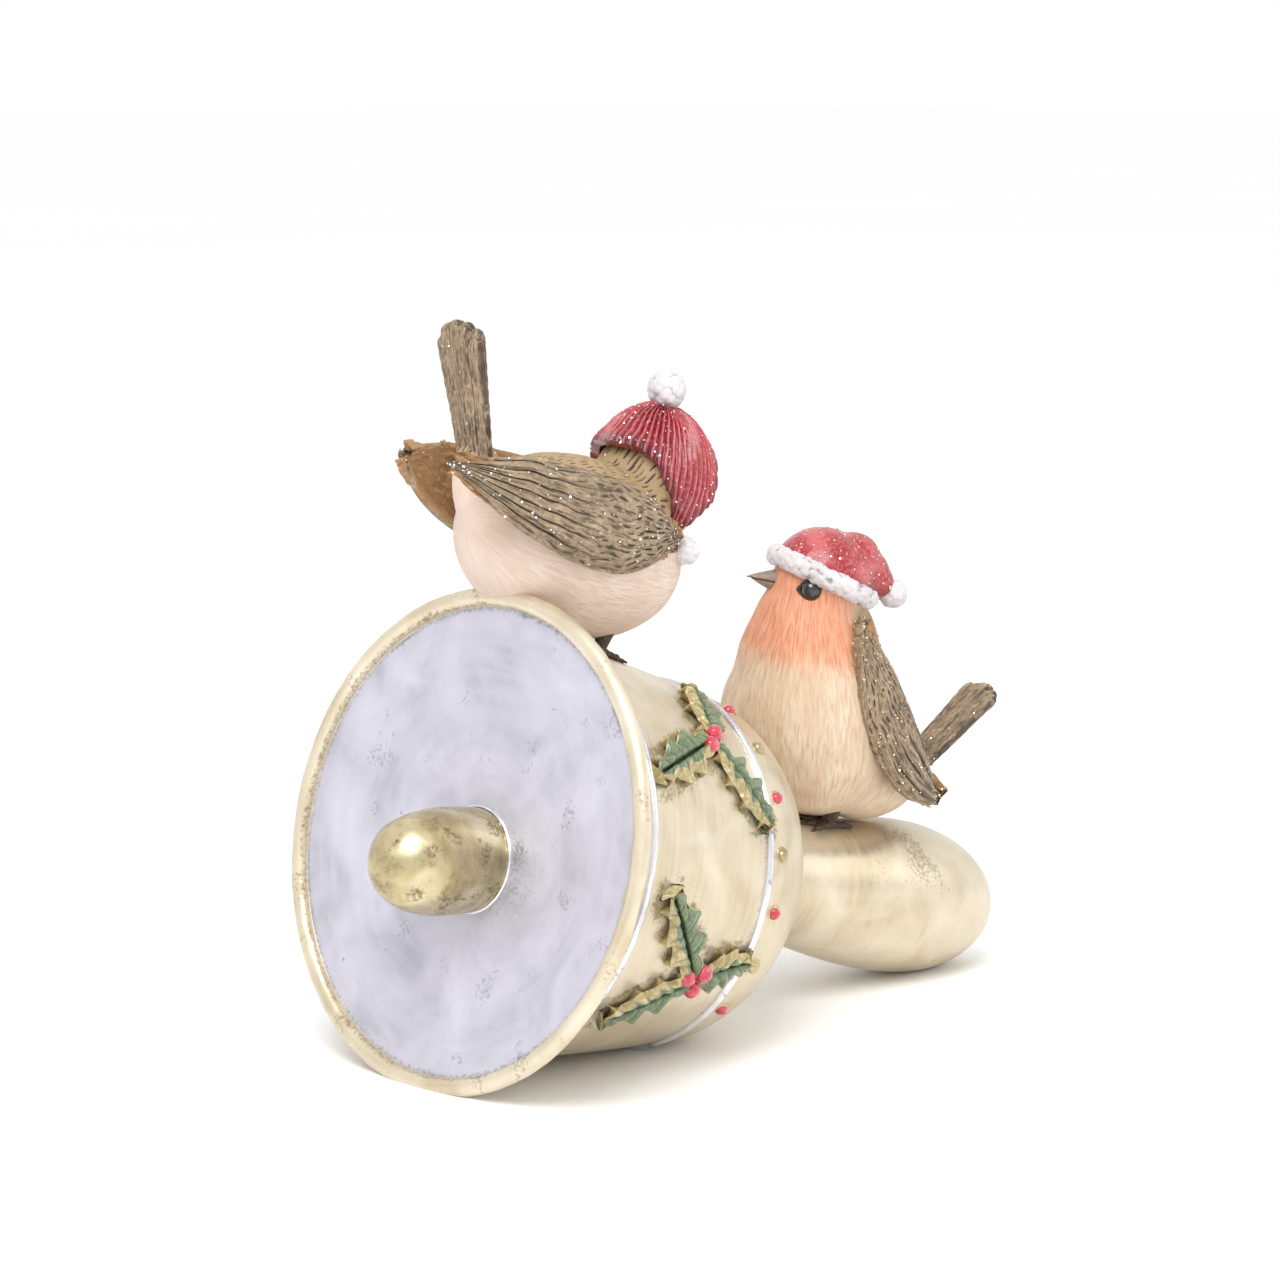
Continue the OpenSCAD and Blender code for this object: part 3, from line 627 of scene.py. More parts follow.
class Look(Enum):
    """The ornament's finishes."""

    GOLD = MetallicPaint(
        "champagne_gold_paint", "#dfd4c0", "#d0c3a8", "#bcac8c", "#857350", 0.6, (0.26, 0.42)
    )
    ANTIQUE = MetallicPaint(
        "antique_gold_leaf_paint", "#ddd2ae", "#b8a77c", "#958560", "#776645", 0.85, (0.2, 0.38), 9.0, 2.2
    )
    LILAC = MetallicPaint(
        "brushed_silver_lilac_paint", "#c9c7d3", "#bbb9c5", "#a9a8b2", "#86858b",
        0.35, (0.38, 0.56), 11.0, 1.8,
    )
    SILVER = MetallicPaint("silver_line_paint", "#f2f2f6", "#dcdce2", "#b9b9c2", "#77757c", 0.85, (0.16, 0.3))
    LEAF = CarvedPaint("glazed_holly_green_paint", "#97a67c", "#5f754e", "#2d3b22", 0.36, 0.8, 0.5)
    GILT = CarvedPaint("gilt_edge_paint", "#e2d6a8", "#a8945e", "#5f5329", 0.28, 0.9, 0.6)
    BERRY = Enamel("berry_red_enamel", "#bf1f35", "#e4687a")
    EYE = Enamel("gloss_black_enamel", "#0b0908", "#16120f")
    CREAM = DownPaint("combed_cream_paint", "#dfcdbf", "#c9b09f", "#dcb396", "#c39272")
    ROBIN = DownPaint("combed_robin_paint", "#dcc9b0", "#c2a586", "#db9c7a", "#bb7050")
    FEATHER = CarvedPaint("carved_feather_brown_paint", "#b9a488", "#8b765c", "#33261c", stroke_mm=0.5)
    TAN = CarvedPaint("inner_wing_tan_paint", "#d9b890", "#c6a076", "#a57f58")
    FELT = CarvedPaint("ribbed_hat_red_paint", "#d77478", "#a01c28", "#470f19", 0.36, 0.7, 0.3)
    # Snow's grey third colour is painted shade for the crevices.
    SNOW = CarvedPaint("stippled_snow_white_paint", "#e6e3e5", "#d2cdcf", "#938b8e", 0.5, 0.6)
    BEAK = CarvedPaint("beak_grey_paint", "#b3a396", "#93806f", "#3a2a22", 0.45)
    LEG = CarvedPaint("leg_brown_paint", "#6f5a48", "#453428", "#1d1410", 0.55)
    WHITE_FLAKE = Foil("white_glitter_foil", "#ffffff", "#f2f2f7")
    GOLD_FLAKE = Foil("gold_glitter_foil", "#fff3cf", "#f0dca6")
    STEEL = Foil("drawn_steel_wire", "#b9bbc0", "#9a9ca2", 0.35)

    def material(self) -> bpy.types.Material:
        """The finish's material, mixed the first time that it is asked for."""
        return bpy.data.materials.get(self.value.name) or self.value.build()


# ---- Bell ----


@dataclass(frozen=True)
class Leaf:
    """One leaf: 0 degrees points to the handle and 90 up round the bell.

    gilt says which half of it is gold: 1 for the half to the left of its direction.
    """

    direction: float
    length: float
    gilt: int

    def mirrored(self) -> "Leaf":
        """The same leaf on the other side of the bell."""
        return Leaf(-self.direction, self.length, -self.gilt)


UPPER = (Leaf(65.0, 16.0, 1), Leaf(208.0, 21.0, 1), Leaf(-47.0, 18.0, -1))
LOWER = (Leaf(133.0, 21.0, 1), Leaf(212.0, 18.5, -1), Leaf(14.0, 13.5, 1))


def sprig_leaves() -> list[tuple[float, Leaf]]:
    """Every leaf on the bell with its sprig's angle."""
    front = [(angle, leaf) for angle, leaves in ((48.0, UPPER), (118.0, LOWER)) for leaf in leaves]
    return front + [(-angle, leaf.mirrored()) for angle, leaf in front]


@dataclass(frozen=True)
class BellShape:
    """The bell's outline about its own axis, with X from the mouth to the handle."""

    mouth_r: float = 44.0
    lip_r: float = 1.7
    waist_r: float = 37.0
    waist_x: float = 10.0
    shoulder_r: float = 32.8
    shoulder_x: float = 44.0
    crown_len: float = 26.5
    crown_t: float = 9.0
    wall_t: float = 4.5
    seat_r: float = 9.2
    dish_depth: float = 2.5
    dish_t: float = 4.2
    neck_r: float = 8.0
    knob_r: float = 14.7
    knob_x: float = 114.0
    knob_end: float = 25.7
    band_x: tuple[float, float] = (9.5, 43.5)

    @property
    def dish_r(self) -> float:
        """Radius of the dish, inside the lip."""
        return self.mouth_r - 2.0 * self.lip_r

    @property
    def crown_x(self) -> float:
        """Where the crown ends in the handle's seat."""
        return self.shoulder_x + self.crown_len * math.sqrt(1.0 - (self.seat_r / self.shoulder_r) ** 2)

    def axis(self) -> tuple[Matrix, float]:
        """The bell's frame and its tilt, from two pieces that are centred on its axis."""
        places = [sum(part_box(node), Vector()) / 2.0 / MM for node in ("mouth_band", "handle_dowel")]
        along = (places[1] - places[0]).normalized()
        tilt = math.degrees(math.atan2(-along.z, along.x))
        mouth = places[0] - along * self.band_x[0]
        return Matrix.Translation(mouth) @ turn("Y", tilt), tilt

    def outer(self, x: float | np.ndarray) -> np.ndarray:
        """Radius of the outside at a distance from the mouth."""
        x = np.asarray(x, float)
        flare = np.clip(1.0 - (x - self.lip_r) / (self.waist_x - self.lip_r), 0.0, 2.0)
        run = (x - self.waist_x) / (self.shoulder_x - self.waist_x)
        dome = np.clip(1.0 - ((x - self.shoulder_x) / self.crown_len) ** 2, 0.0, 1.0)
        return np.select(
            [x < self.waist_x, x < self.shoulder_x],
            [
                self.waist_r + (self.mouth_r - self.waist_r) * flare**1.2,
                self.waist_r + (self.shoulder_r - self.waist_r) * run + 0.3 * np.sin(math.pi * run),
            ],
            self.shoulder_r * np.sqrt(dome),
        )

    def handle(self, x: float) -> float:
        """Radius of the handle at a distance from the mouth, up to its widest place."""
        share = (x - self.crown_x) / (self.knob_x - self.crown_x)
        return self.neck_r + (self.knob_r - self.neck_r) * math.sin(math.pi / 2.0 * share)

    def dish(self, radius: float) -> float:
        """Front of the dish at a radius."""
        return self.lip_r + self.dish_depth * (1.0 - (radius / self.dish_r) ** 2)


@dataclass
class BellCasting:
    """The bell, its dish, clapper and handle, and the raised bands and beads."""

    shape: BellShape

    def __post_init__(self) -> None:
        """Finds the bell's place."""
        self.place, self.tilt = self.shape.axis()

    def shell(self) -> None:
        """The cast body: rolled lip, flare, waist and crown, with worn paint on the lip and painted shade in
        the creases by the lip and the bands.
        """
        s = self.shape
        inner = s.shoulder_r - s.wall_t
        depth = s.crown_len - s.crown_t
        line = [(s.shoulder_x + depth, 0.0, 0.1)]
        line += [
            (s.shoulder_x + depth * math.sin(a), inner * math.cos(a), 0.1)
            for a in np.radians(np.linspace(80.0, 0.0, 12))
        ]
        line += [(s.dish(32.5) + s.dish_t, 32.5, 0.1), (s.lip_r, s.dish_r, 0.4)]
        nose = s.mouth_r - s.lip_r
        line += [
            (s.lip_r - s.lip_r * math.cos(a), nose + s.lip_r * math.sin(a), 3.0)
            for a in np.radians(np.linspace(-80.0, 80.0, 17))
        ]
        line += [(x, float(s.outer(x)), 1.6) for x in np.linspace(s.lip_r, s.waist_x + 2.0, 24)]
        line += [(x, float(s.outer(x)), 0.9) for x in np.linspace(s.waist_x + 3.0, s.crown_x, 70)]
        line += [(s.crown_x, 0.0, 0.1)]
        clay = turned(line, 320, 230)
        p = clay.points
        radius = np.hypot(p[:, 1], p[:, 2])
        outside = ease(-1.5, -0.3, radius - s.outer(p[:, 0]))
        lip = np.exp(-(((p[:, 0] - 0.8) / 2.6) ** 2)) * ease(40.3, 41.4, radius)
        clay.push(0.14 * wobble(p, 13.0) * outside + 0.12 * wobble(p, 3.2, 2.0) * lip)
        wash_and_shade = 0.34 * lip * ease(0.0, 0.6, wobble(p * [0.6, 1.0, 1.0], 4.5, 3.0))
        # A dark line along the inner edge of the lip, in the crease where it meets the dish: painted shade.
        wash_and_shade += 0.4 * np.exp(-((radius - 40.9) ** 2) / 0.12)
        # A dark line in the crease each side of a band: antique wash and painted shade.
        for x in s.band_x:
            wash_and_shade += 0.62 * np.exp(-(((np.abs(p[:, 0] - x) - 1.0) / 0.28) ** 2))
        wash_and_shade += 0.28 * np.exp(-(((p[:, 0] - 6.0) / 2.2) ** 2)) * ease(-0.1, 0.5, wobble(p, 9.0, 5.0))
        wash_and_shade += self.varnish(p, radius) * ease(-0.5, 0.2, wobble(p, 2.4, 6.0))
        clay.paint("wear", np.clip(wash_and_shade, 0.0, 1.0)).place(self.place)
        clay.cut((0.0, 0.0, 0.00001), (0.0, 0.0, 1.0))
        finish_piece(clay, "bell_shell", "gold_paint", [Look.GOLD.material()], "bell_body")

    def varnish(self, points: np.ndarray, radius: np.ndarray) -> np.ndarray:
        """How thick the brown varnish lies that has pooled round the holly's leaves."""
        pool = np.zeros(len(points))
        round_at = np.degrees(np.arctan2(-points[:, 1], points[:, 2]))
        for angle, leaf in sprig_leaves():
            arc = np.radians(np.mod(round_at - angle + 180.0, 360.0) - 180.0) * radius
            along = np.array([math.cos(math.radians(leaf.direction)), math.sin(math.radians(leaf.direction))])
            flat = np.stack([points[:, 0] - 30.0, -arc], 1)
            share = np.clip(flat @ along, 1.5, leaf.length - 1.5)
            apart = np.hypot(*(flat - share[:, None] * along).T)
            pool = np.maximum(pool, 0.62 * np.exp(-(((apart - 4.0) / 1.1) ** 2)))
        return pool

    def dish(self) -> None:
        """The dish that closes the mouth, with smudges and pits, a band of painted shade at its edge under
        the lip, and painted shade beside the clapper.
        """
        s = self.shape
        line = [(s.dish(r), r, 1.0) for r in np.linspace(0.0, s.dish_r, 30)]
        line += [(s.dish(r) + s.dish_t, r, 0.2) for r in np.linspace(32.5, 0.0, 10)]
        clay = turned(line, 256, 150)
        p = clay.points
        front = ease(-1.0, -0.2, s.dish(0.0) + 0.6 - p[:, 0])
        pits = ease(0.62, 0.8, wobble(p, 1.5, 7.0)) * 0.12
        clay.push((0.12 * wobble(p, 12.0, 4.0) + 0.04 * wobble(p, 3.0, 6.0) - pits) * front)
        radius = np.hypot(p[:, 1], p[:, 2])
        # Random smudges, and a darker band at the dish's edge in the crease under the lip, which is painted
        # shade.
        smudge_and_shade = 0.34 * ease(0.25, 0.6, wobble(p, 6.0, 8.0)) + 0.5 * ease(39.4, 40.5, radius)
        # A darker patch beside and below the clapper: painted shade from the clapper.
        clapper_shade = np.exp(-(((p[:, 1] + 9.0) / 9.0) ** 2) - ((p[:, 2] + 5.0) / 9.0) ** 2)
        clay.paint("wear", np.clip(smudge_and_shade + 0.32 * clapper_shade + 4.0 * pits, 0.0, 1.0)).place(self.place)
        finish_piece(clay, "silvered_dish", "silver_wash", [Look.LILAC.material()], "mouth_dish")

    def clapper(self) -> None:
        """The egg of the clapper, and the line of glue that holds it to the dish."""
        s = self.shape
        length, radius, stand, drop, droop = 13.8, 9.3, 8.2, 3.0, 8.0
        place = (
            self.place @ move(s.lip_r + s.dish_depth, 0.0, -drop)
            @ turn("Y", -droop) @ move(-stand, 0.0, 0.0)
        )
        back = 4.5 * stand
        line = [
            (-length * math.cos(a), radius * math.sin(a), 1.0) for a in np.linspace(0.0, math.pi / 2.0, 30)
        ]
        line += [
            (x, radius * math.sqrt(1.0 - (x / back) ** 2), 1.0) for x in np.linspace(0.4, stand + 0.6, 14)
        ]
        line += [(stand + 0.6, 0.0, 0.4)]
        clay = turned(line, 128, 90)
        p = clay.points
        clay.push(0.28 * wobble(p, 7.0, 1.0) + 0.08 * wobble(p, 2.2, 2.0))
        stain_and_shade = 0.5 * ease(0.0, 0.4, wobble(p, 4.6, 9.0)) + 0.4 * ease(0.3, 0.6, wobble(p, 1.8, 3.0))
        clay.paint("wear", np.clip(stain_and_shade, 0.0, 1.0)).place(place)
        finish_piece(clay, "clapper_egg", "antique_gold", [Look.ANTIQUE.material()], "clapper")
        glue = Clay.start(
            bpy.ops.mesh.primitive_torus_add, major_radius=radius - 0.1, minor_radius=0.34,
            major_segments=160, minor_segments=10,
        )
        glue.obj.data.transform(turn("Y", 90.0))
        glue.push(0.16 * wobble(glue.points, 1.6, 4.0))
        lean = move(s.lip_r + s.dish_depth - 0.12, 0.0, -drop)
        glue.paint("wear", np.zeros(len(glue.points))).place(self.place @ lean)
        finish_piece(glue, "clapper_glue_line", "silver_line", [Look.SILVER.material()])

    def handle(self) -> None:
        """The pear-shaped handle, with painted shade on its upper side under the robin."""
        s = self.shape
        line = [(s.crown_x - 0.4, 0.0, 0.1), (s.crown_x - 0.4, s.neck_r + 0.5, 0.1)]
        line += [(x, s.handle(x), 1.0) for x in np.linspace(s.crown_x + 0.6, s.knob_x, 40)]
        line += [
            (s.knob_x + s.knob_end * math.sin(a), s.knob_r * math.cos(a), 1.0)
            for a in np.radians(np.linspace(4.0, 90.0, 30))
        ]
        clay = turned(line, 192, 150)
        p = clay.points
        clay.push(0.18 * wobble(p, 14.0, 6.0) + 0.05 * wobble(p, 4.0, 2.0))
        # Dark patches on the upper side only: painted shade under the robin that sits there.
        stain_and_shade = 0.45 * ease(0.1, 0.5, wobble(p, 10.0, 12.0)) * ease(0.0, 8.0, p[:, 2])
        # A dark line where the handle meets the crown.
        stain_and_shade += 0.5 * np.exp(-(((p[:, 0] - s.crown_x - 0.6) / 1.2) ** 2))
        clay.paint("wear", np.clip(stain_and_shade, 0.0, 1.0)).place(self.place)
        clay.cut((0.0, 0.0, 0.00001), (0.0, 0.0, 1.0))
        finish_piece(clay, "pear_handle", "gold_paint", [Look.GOLD.material()], "handle")

    def bands(self) -> None:
        """The two raised silver bands."""
        for x, name, node in zip(
            self.shape.band_x, ("mouth_line", "shoulder_line"), ("mouth_band", "shoulder_band")
        ):
            clay = Clay.start(
                bpy.ops.mesh.primitive_torus_add, major_radius=float(self.shape.outer(x)),
                minor_radius=0.78, major_segments=320, minor_segments=14,
            )
            clay.obj.data.transform(move(x, 0.0, 0.0) @ turn("Y", 90.0))
            p = clay.points
            clay.push(0.1 * wobble(p, 2.8, x) + 0.08 * wobble(p, 9.0, x + 1.0))
            clay.paint("wear", 0.5 * ease(0.2, 0.6, wobble(p, 3.0, x))).place(self.place)
            clay.cut((0.0, 0.0, 0.00001), (0.0, 0.0, 1.0))
            finish_piece(clay, name, "silver_line", [Look.SILVER.material()], node)

    def beads(self) -> None:
        """The ring of small domed beads, red and gold in turn, each on a gold dot."""
        s = self.shape
        x, radius, count = s.band_x[1] + 0.8 + 2.6, 1.15, 20
        height = self.place.translation.z - x * math.sin(math.radians(self.tilt))
        groups: dict[int, list[Clay]] = {0: [], 1: []}
        dots = []
        for i in range(count):
            angle = -11.0 - i * 360.0 / count
            level = float(s.outer(x)) * math.cos(math.radians(angle)) * math.cos(math.radians(self.tilt))
            if height + level <= 3.0 * radius:
                continue
            at = turn("X", angle) @ move(x, 0.0, float(s.outer(x)))
            bead = Clay.ball((radius, radius, 1.05), at @ move(0.0, 0.0, 0.1), 20, 14)
            groups[i % 2].append(bead.push(0.07 * wobble(bead.points, 0.9, i)))
            dot = Clay.ball((radius + 0.35, radius + 0.3, 0.4), at @ move(0.15, 0.1, 0.0), 20, 8)
            dots.append(dot.push(0.05 * wobble(dot.points, 0.8, i)))
        for group, name, slot, look, node in (
            (groups[0], "red_bead_ring", "red_enamel", Look.BERRY, "red_beads"),
            (groups[1], "gold_bead_ring", "antique_gold", Look.ANTIQUE, "gold_beads"),
            (dots, "bead_dots", "antique_gold", Look.ANTIQUE, None),
        ):
            ring = join(group)
            ring.paint("wear", np.zeros(len(ring.points))).place(self.place)
            finish_piece(ring, name, slot, [look.material()], *([node] if node else []))


# ---- Holly ----


@dataclass
class Holly:
    """Sprigs of glazed leaves with berries, pressed on to the bell between the bands."""

    bell: BellCasting
    x: float = 30.0
    width: float = 9.0
    berry_r: float = 1.6

    def on_bell(self, flat: np.ndarray, angle: float) -> np.ndarray:
        """Wraps [along, across, height] in a sprig's plane on to the bell."""
        x = self.x + flat[:, 0]
        radius = self.bell.shape.outer(x) + flat[:, 2]
        up = np.sqrt(np.maximum(radius**2 - flat[:, 1] ** 2, 0.0))
        places = np.stack([x, flat[:, 1], up], 1)
        return places @ np.array(turn("X", angle).to_3x3()).T

    def leaf(self, leaf: Leaf, angle: float, seed: float) -> Clay:
        """One spiny leaf with a midrib, veins and curled points."""
        clay = Clay.start(bpy.ops.mesh.primitive_grid_add, x_subdivisions=84, y_subdivisions=36, size=2.0)
        grid = clay.points
        u, v = (grid[:, 0] + 1.0) / 2.0, grid[:, 1]
        spine = np.cos(math.pi * (u - 0.09) / 0.27) ** 2
        half = self.width / 2.0 * np.sin(math.pi * np.clip(u, 0.012, 0.988)) ** 0.62 * (0.62 + 0.42 * spine)
        along, aside = u * leaf.length, v * half
        midrib = np.exp(-((v / 0.09) ** 2))
        veins = np.sin(2.0 * math.pi * (along / 2.6 - np.abs(v) * 0.9 + 0.15 * seed))
        pillow = np.sin(math.pi * np.clip(np.abs(v), 0.0, 1.0) ** 0.8)
        height = 1.15 + 0.65 * pillow - 0.6 * midrib + 0.2 * veins * pillow
        height += 0.55 * spine * np.abs(v) ** 4 - 0.5 * ease(0.75, 1.0, np.abs(v)) * (1.0 - spine)
        height += 0.25 * wobble(np.stack([along, aside, u], 1), 2.6, seed)
        cos, sin = math.cos(math.radians(leaf.direction)), math.sin(math.radians(leaf.direction))
        start = 0.6
        flat = np.stack([(along + start) * cos - aside * sin, (along + start) * sin + aside * cos, height], 1)
        clay.points = self.on_bell(flat, angle)
        groove = np.clip(0.9 * midrib + 0.55 * ease(0.3, 1.0, -veins) * pillow, 0.0, 1.0)
        clay.paint("groove", groove)
        edge = ease(0.86, 0.98, np.abs(v)) * 0.7
        gilt = ease(0.3, 0.5, v * leaf.gilt + 0.35 * wobble(flat, 2.6, seed + 4.0))
        gilt = np.maximum(gilt, edge)
        self.dress(clay, gilt)
        return clay.modify(
            "SOLIDIFY", thickness=2.3, offset=-1.0, material_offset_rim=1, use_even_offset=False
        )

    def dress(self, clay: Clay, gilt: np.ndarray) -> None:
        """Gives green and gilt faces their material numbers, and turns the leaf's face up."""
        clay.face_to(clay.points * [0.0, 1.0, 1.0])
        mesh = clay.obj.data
        mesh.materials.append(Look.LEAF.material())
        mesh.materials.append(Look.GILT.material())
        for face in mesh.polygons:
            face.material_index = int(gilt[list(face.vertices)].mean() > 0.5)

    def sprig(self, name: str, leaves: Sequence[Leaf], angle: float, berries: int, side: int) -> None:
        """One sprig's leaves, and its berries."""
        made = [
            self.leaf(leaf if side > 0 else leaf.mirrored(), angle * side, i + berries)
            for i, leaf in enumerate(leaves)
        ]
        sprig = join(made).place(self.bell.place)
        looks = [Look.LEAF.material(), Look.GILT.material()]
        finish_piece(sprig, f"{name}_leaves", "holly_green", looks, f"{name}_holly")
        middle = turn("X", angle * side) @ move(
            self.x, 0.0, float(self.bell.shape.outer(self.x)) + 0.8 * self.berry_r
        )
        spread = self.berry_r * (1.25 if berries > 2 else 1.1)
        fruit = []
        for i in range(berries):
            at = middle @ turn("Z", 50.0 + 360.0 * i / berries) @ move(spread, 0.0, 0.0)
            berry = Clay.ball((self.berry_r,) * 3, at, 32, 20)
            dimples = bumps(berry.points, 1.1, i)
            fruit.append(berry.push(0.12 - 0.3 * dimples**2))
        cluster = join(fruit).place(self.bell.place)
        finish_piece(cluster, f"{name}_fruit", "red_enamel", [Look.BERRY.material()], f"{name}_berries")

    def build(self) -> None:
        """All four sprigs."""
        for side, word in ((1, "front"), (-1, "rear")):
            self.sprig(f"{word}_upper", UPPER, 48.0, 2, side)
            self.sprig(f"{word}_lower", LOWER, 118.0, 3, side)


# ---- What both robins have ----


class Glitter:
    """Foil flakes stuck on wet paint. One flake is cut, and the rest are copies."""

    def __init__(self) -> None:
        """Starts the fixed draw of places."""
        self.draw = np.random.default_rng(25)

    def scatter(self, name: str, slot: str, look: Look, places: np.ndarray, normals: np.ndarray,
                weights: np.ndarray, count: int, size: float = 0.3) -> None:
        """Sticks flakes on a surface.

        Args:
            name: The piece's name.
            slot: The record's material slot; not used.
            look: The foil.
            places: The surface's points, in metres in the row's frame.
            normals: Directions out of the surface.
            weights: How much each point's paint holds.
            count: Number of flakes.
            size: Radius of a flake in millimetres.
        """
        flake = Clay.start(
            bpy.ops.mesh.primitive_cylinder_add, vertices=6, radius=size * MM, depth=0.09 * MM
        )
        corners = flake.points
        faces = [tuple(f.vertices) for f in flake.obj.data.polygons]
        picks = self.draw.choice(len(places), count, replace=False, p=weights / weights.sum())
        points, polygons = [], []
        for pick in picks:
            lean = Vector(normals[pick]) + Vector(self.draw.normal(0.0, 0.42, 3))
            at = Matrix.Translation(places[pick] + normals[pick] * 0.08 * MM)
            at = (
                at @ lean.to_track_quat("Z", "Y").to_matrix().to_4x4()
                @ turn("Z", self.draw.uniform(0.0, 60.0))
            )
            at = at @ Matrix.Scale(self.draw.uniform(0.55, 1.15), 4)
            polygons += [tuple(v + len(points) for v in face) for face in faces]
            points += [at @ Vector(c) for c in corners]
        flake.obj.data.clear_geometry()
        flake.obj.data.from_pydata(points, [], polygons)
        finish_piece(flake, name, slot, [look.material()])


@dataclass
class Skin:
    """A finished surface's points, directions and hold on glitter, for later flakes."""

    places: np.ndarray
    normals: np.ndarray
    hold: np.ndarray


def skin_of(clay: Clay, hold: np.ndarray) -> Skin:
    """Keeps a placed mesh's surface for glitter."""
    return Skin(clay.points, clay.normals, hold)


def snowball(radius: float, lumps: float, seed: float) -> Clay:
    """A stippled pompom, with lumps of the given height and painted shade in the crevices between them."""
    clay = Clay.ball((radius,) * 3, Matrix(), 96, 64)
    nubs = bumps(clay.points, 1.4, seed)
    clay.push(0.15 + lumps * (0.35 - nubs**1.5) + 0.1 * wobble(clay.points, 0.7, seed))
    # Grey in the crevices between the lumps is painted shade.
    return clay.paint("groove", ease(0.6, 0.95, nubs) * lumps)


def eyes(head: Matrix, head_r: float, radius: float, aside: float, name: str) -> None:
    """Two glossy eyes, turned aside from the beak, each in a lid with a drawn corner."""
    for side, word in ((1, "left"), (-1, "right")):
        at = head @ turn("Z", side * aside) @ turn("Y", -8.0) @ move(head_r - 0.8, 0.0, 0.0)
        ball = Clay.ball((radius,) * 3, Matrix(), 48, 32)
        ball.points = ball.points * [1.0, 1.06, 1.0]
        ball.place(at)
        finish_piece(ball, f"{name}_{word}_eyeball", "eye_black", [Look.EYE.material()], f"{name}_{word}_eye")
        lid = Clay.start(
            bpy.ops.mesh.primitive_torus_add, major_radius=radius * 0.94, minor_radius=0.27,
            major_segments=64, minor_segments=12,
        )
        lid.obj.data.transform(move(0.72, 0.0, 0.0) @ turn("Y", 90.0))
        q = lid.points
        corner = np.exp(-((np.arctan2(q[:, 2], -side * q[:, 1]) / 0.45) ** 2))
        lid.points = q * np.stack([np.ones(len(q)), 1.0 + 0.3 * corner, 1.0 - 0.1 * corner], 1)
        lid.paint("groove", np.full(len(q), 0.45)).place(at)
        finish_piece(lid, f"{name}_{word}_eyelid", "leg_brown", [Look.LEG.material()])


def beak(head: Matrix, head_r: float, length: float, name: str) -> None:
    """An upper and a lower mandible that meet in a dark line."""
    reach = length + 1.7
    halves = []
    for up, scale in ((1, 1.0), (-1, 0.86)):
        line = [(reach * scale * t, 2.7 * (1.0 - t) ** 0.8, 1.0) for t in np.linspace(0.0, 1.0, 24)]
        half = turned([(0.0, 0.0, 0.3), *line], 40, 36)
        half.cut((0.0, 0.0, 0.0), (0.0, 0.0, float(up)))
        p = half.points
        tuck = 1.0 - 0.12 * (1.0 - ease(0.0, 0.3, np.abs(p[:, 2])))
        height = (1.0 if up > 0 else 0.8) * p[:, 2]
        half.points = np.stack([p[:, 0], p[:, 1] * 0.86 * tuck, height], 1)
        half.paint("groove", np.clip(1.0 - np.abs(p[:, 2]) / 0.3, 0.0, 1.0))
        halves.append(half)
    whole = join(halves)
    whole.place(head @ turn("Y", -12.0) @ move(head_r - 1.5, 0.0, 0.0))
    finish_piece(whole, f"{name}_bill", "beak_grey", [Look.BEAK.material()], f"{name}_beak")


def foot(at: Matrix, rise: float, name: str, side: str) -> None:
    """A gripping foot with claws, and the feathered shank above it.

    Args:
        at: The foot's frame, on the surface that it grips.
        rise: Height of the shank.
        name: The robin's name.
        side: "left" or "right".
    """
    toes = []
    for bend in (-32.0, 0.0, 32.0, 180.0):
        for reach, size, drop in ((1.5, 1.0, 0.55), (3.1, 0.85, 0.5), (4.5, 0.5, 0.35)):
            toes.append(
                Clay.ball((1.15, size * 0.85, size * 0.8), turn("Z", bend) @ move(reach, 0.0, drop), 16, 10)
            )
    toes.append(Clay.ball((1.5, 1.4, 1.1), move(0.0, 0.0, 0.8), 20, 12))
    clay = join(toes).modify("REMESH", mode="VOXEL", voxel_size=0.2).modify(
        "SMOOTH", factor=0.5, iterations=3
    )
    p = clay.points
    clay.push(0.06 * np.sin(p[:, 0] * 7.0))
    clay.paint("groove", 0.45 * ease(0.2, 0.7, wobble(p, 0.8, 3.0))).place(at)
    finish_piece(clay, f"{name}_{side}_toes", "leg_brown", [Look.LEG.material()], f"{name}_{side}_foot")
    line = [(0.2, 0.0, 0.3)] + [
        (0.2 + rise * t, 1.15 + 0.95 * t**1.4, 1.0) for t in np.linspace(0.0, 1.0, 14)
    ]
    shank = turned([*line, (0.2 + rise, 0.0, 0.3)], 48, 40)
    q = shank.points
    cuts = slits(q[:, 0], np.arctan2(q[:, 2], q[:, 1]) * 1.6, 1.6, 0.7, 4.0)
    shank.push(-0.22 * cuts)
    shank.paint("groove", cuts)
    shank.obj.data.transform(turn("Y", -90.0))
    shank.place(at)
    finish_piece(shank, f"{name}_{side}_shank", "leg_brown", [Look.LEG.material()], f"{name}_{side}_leg")


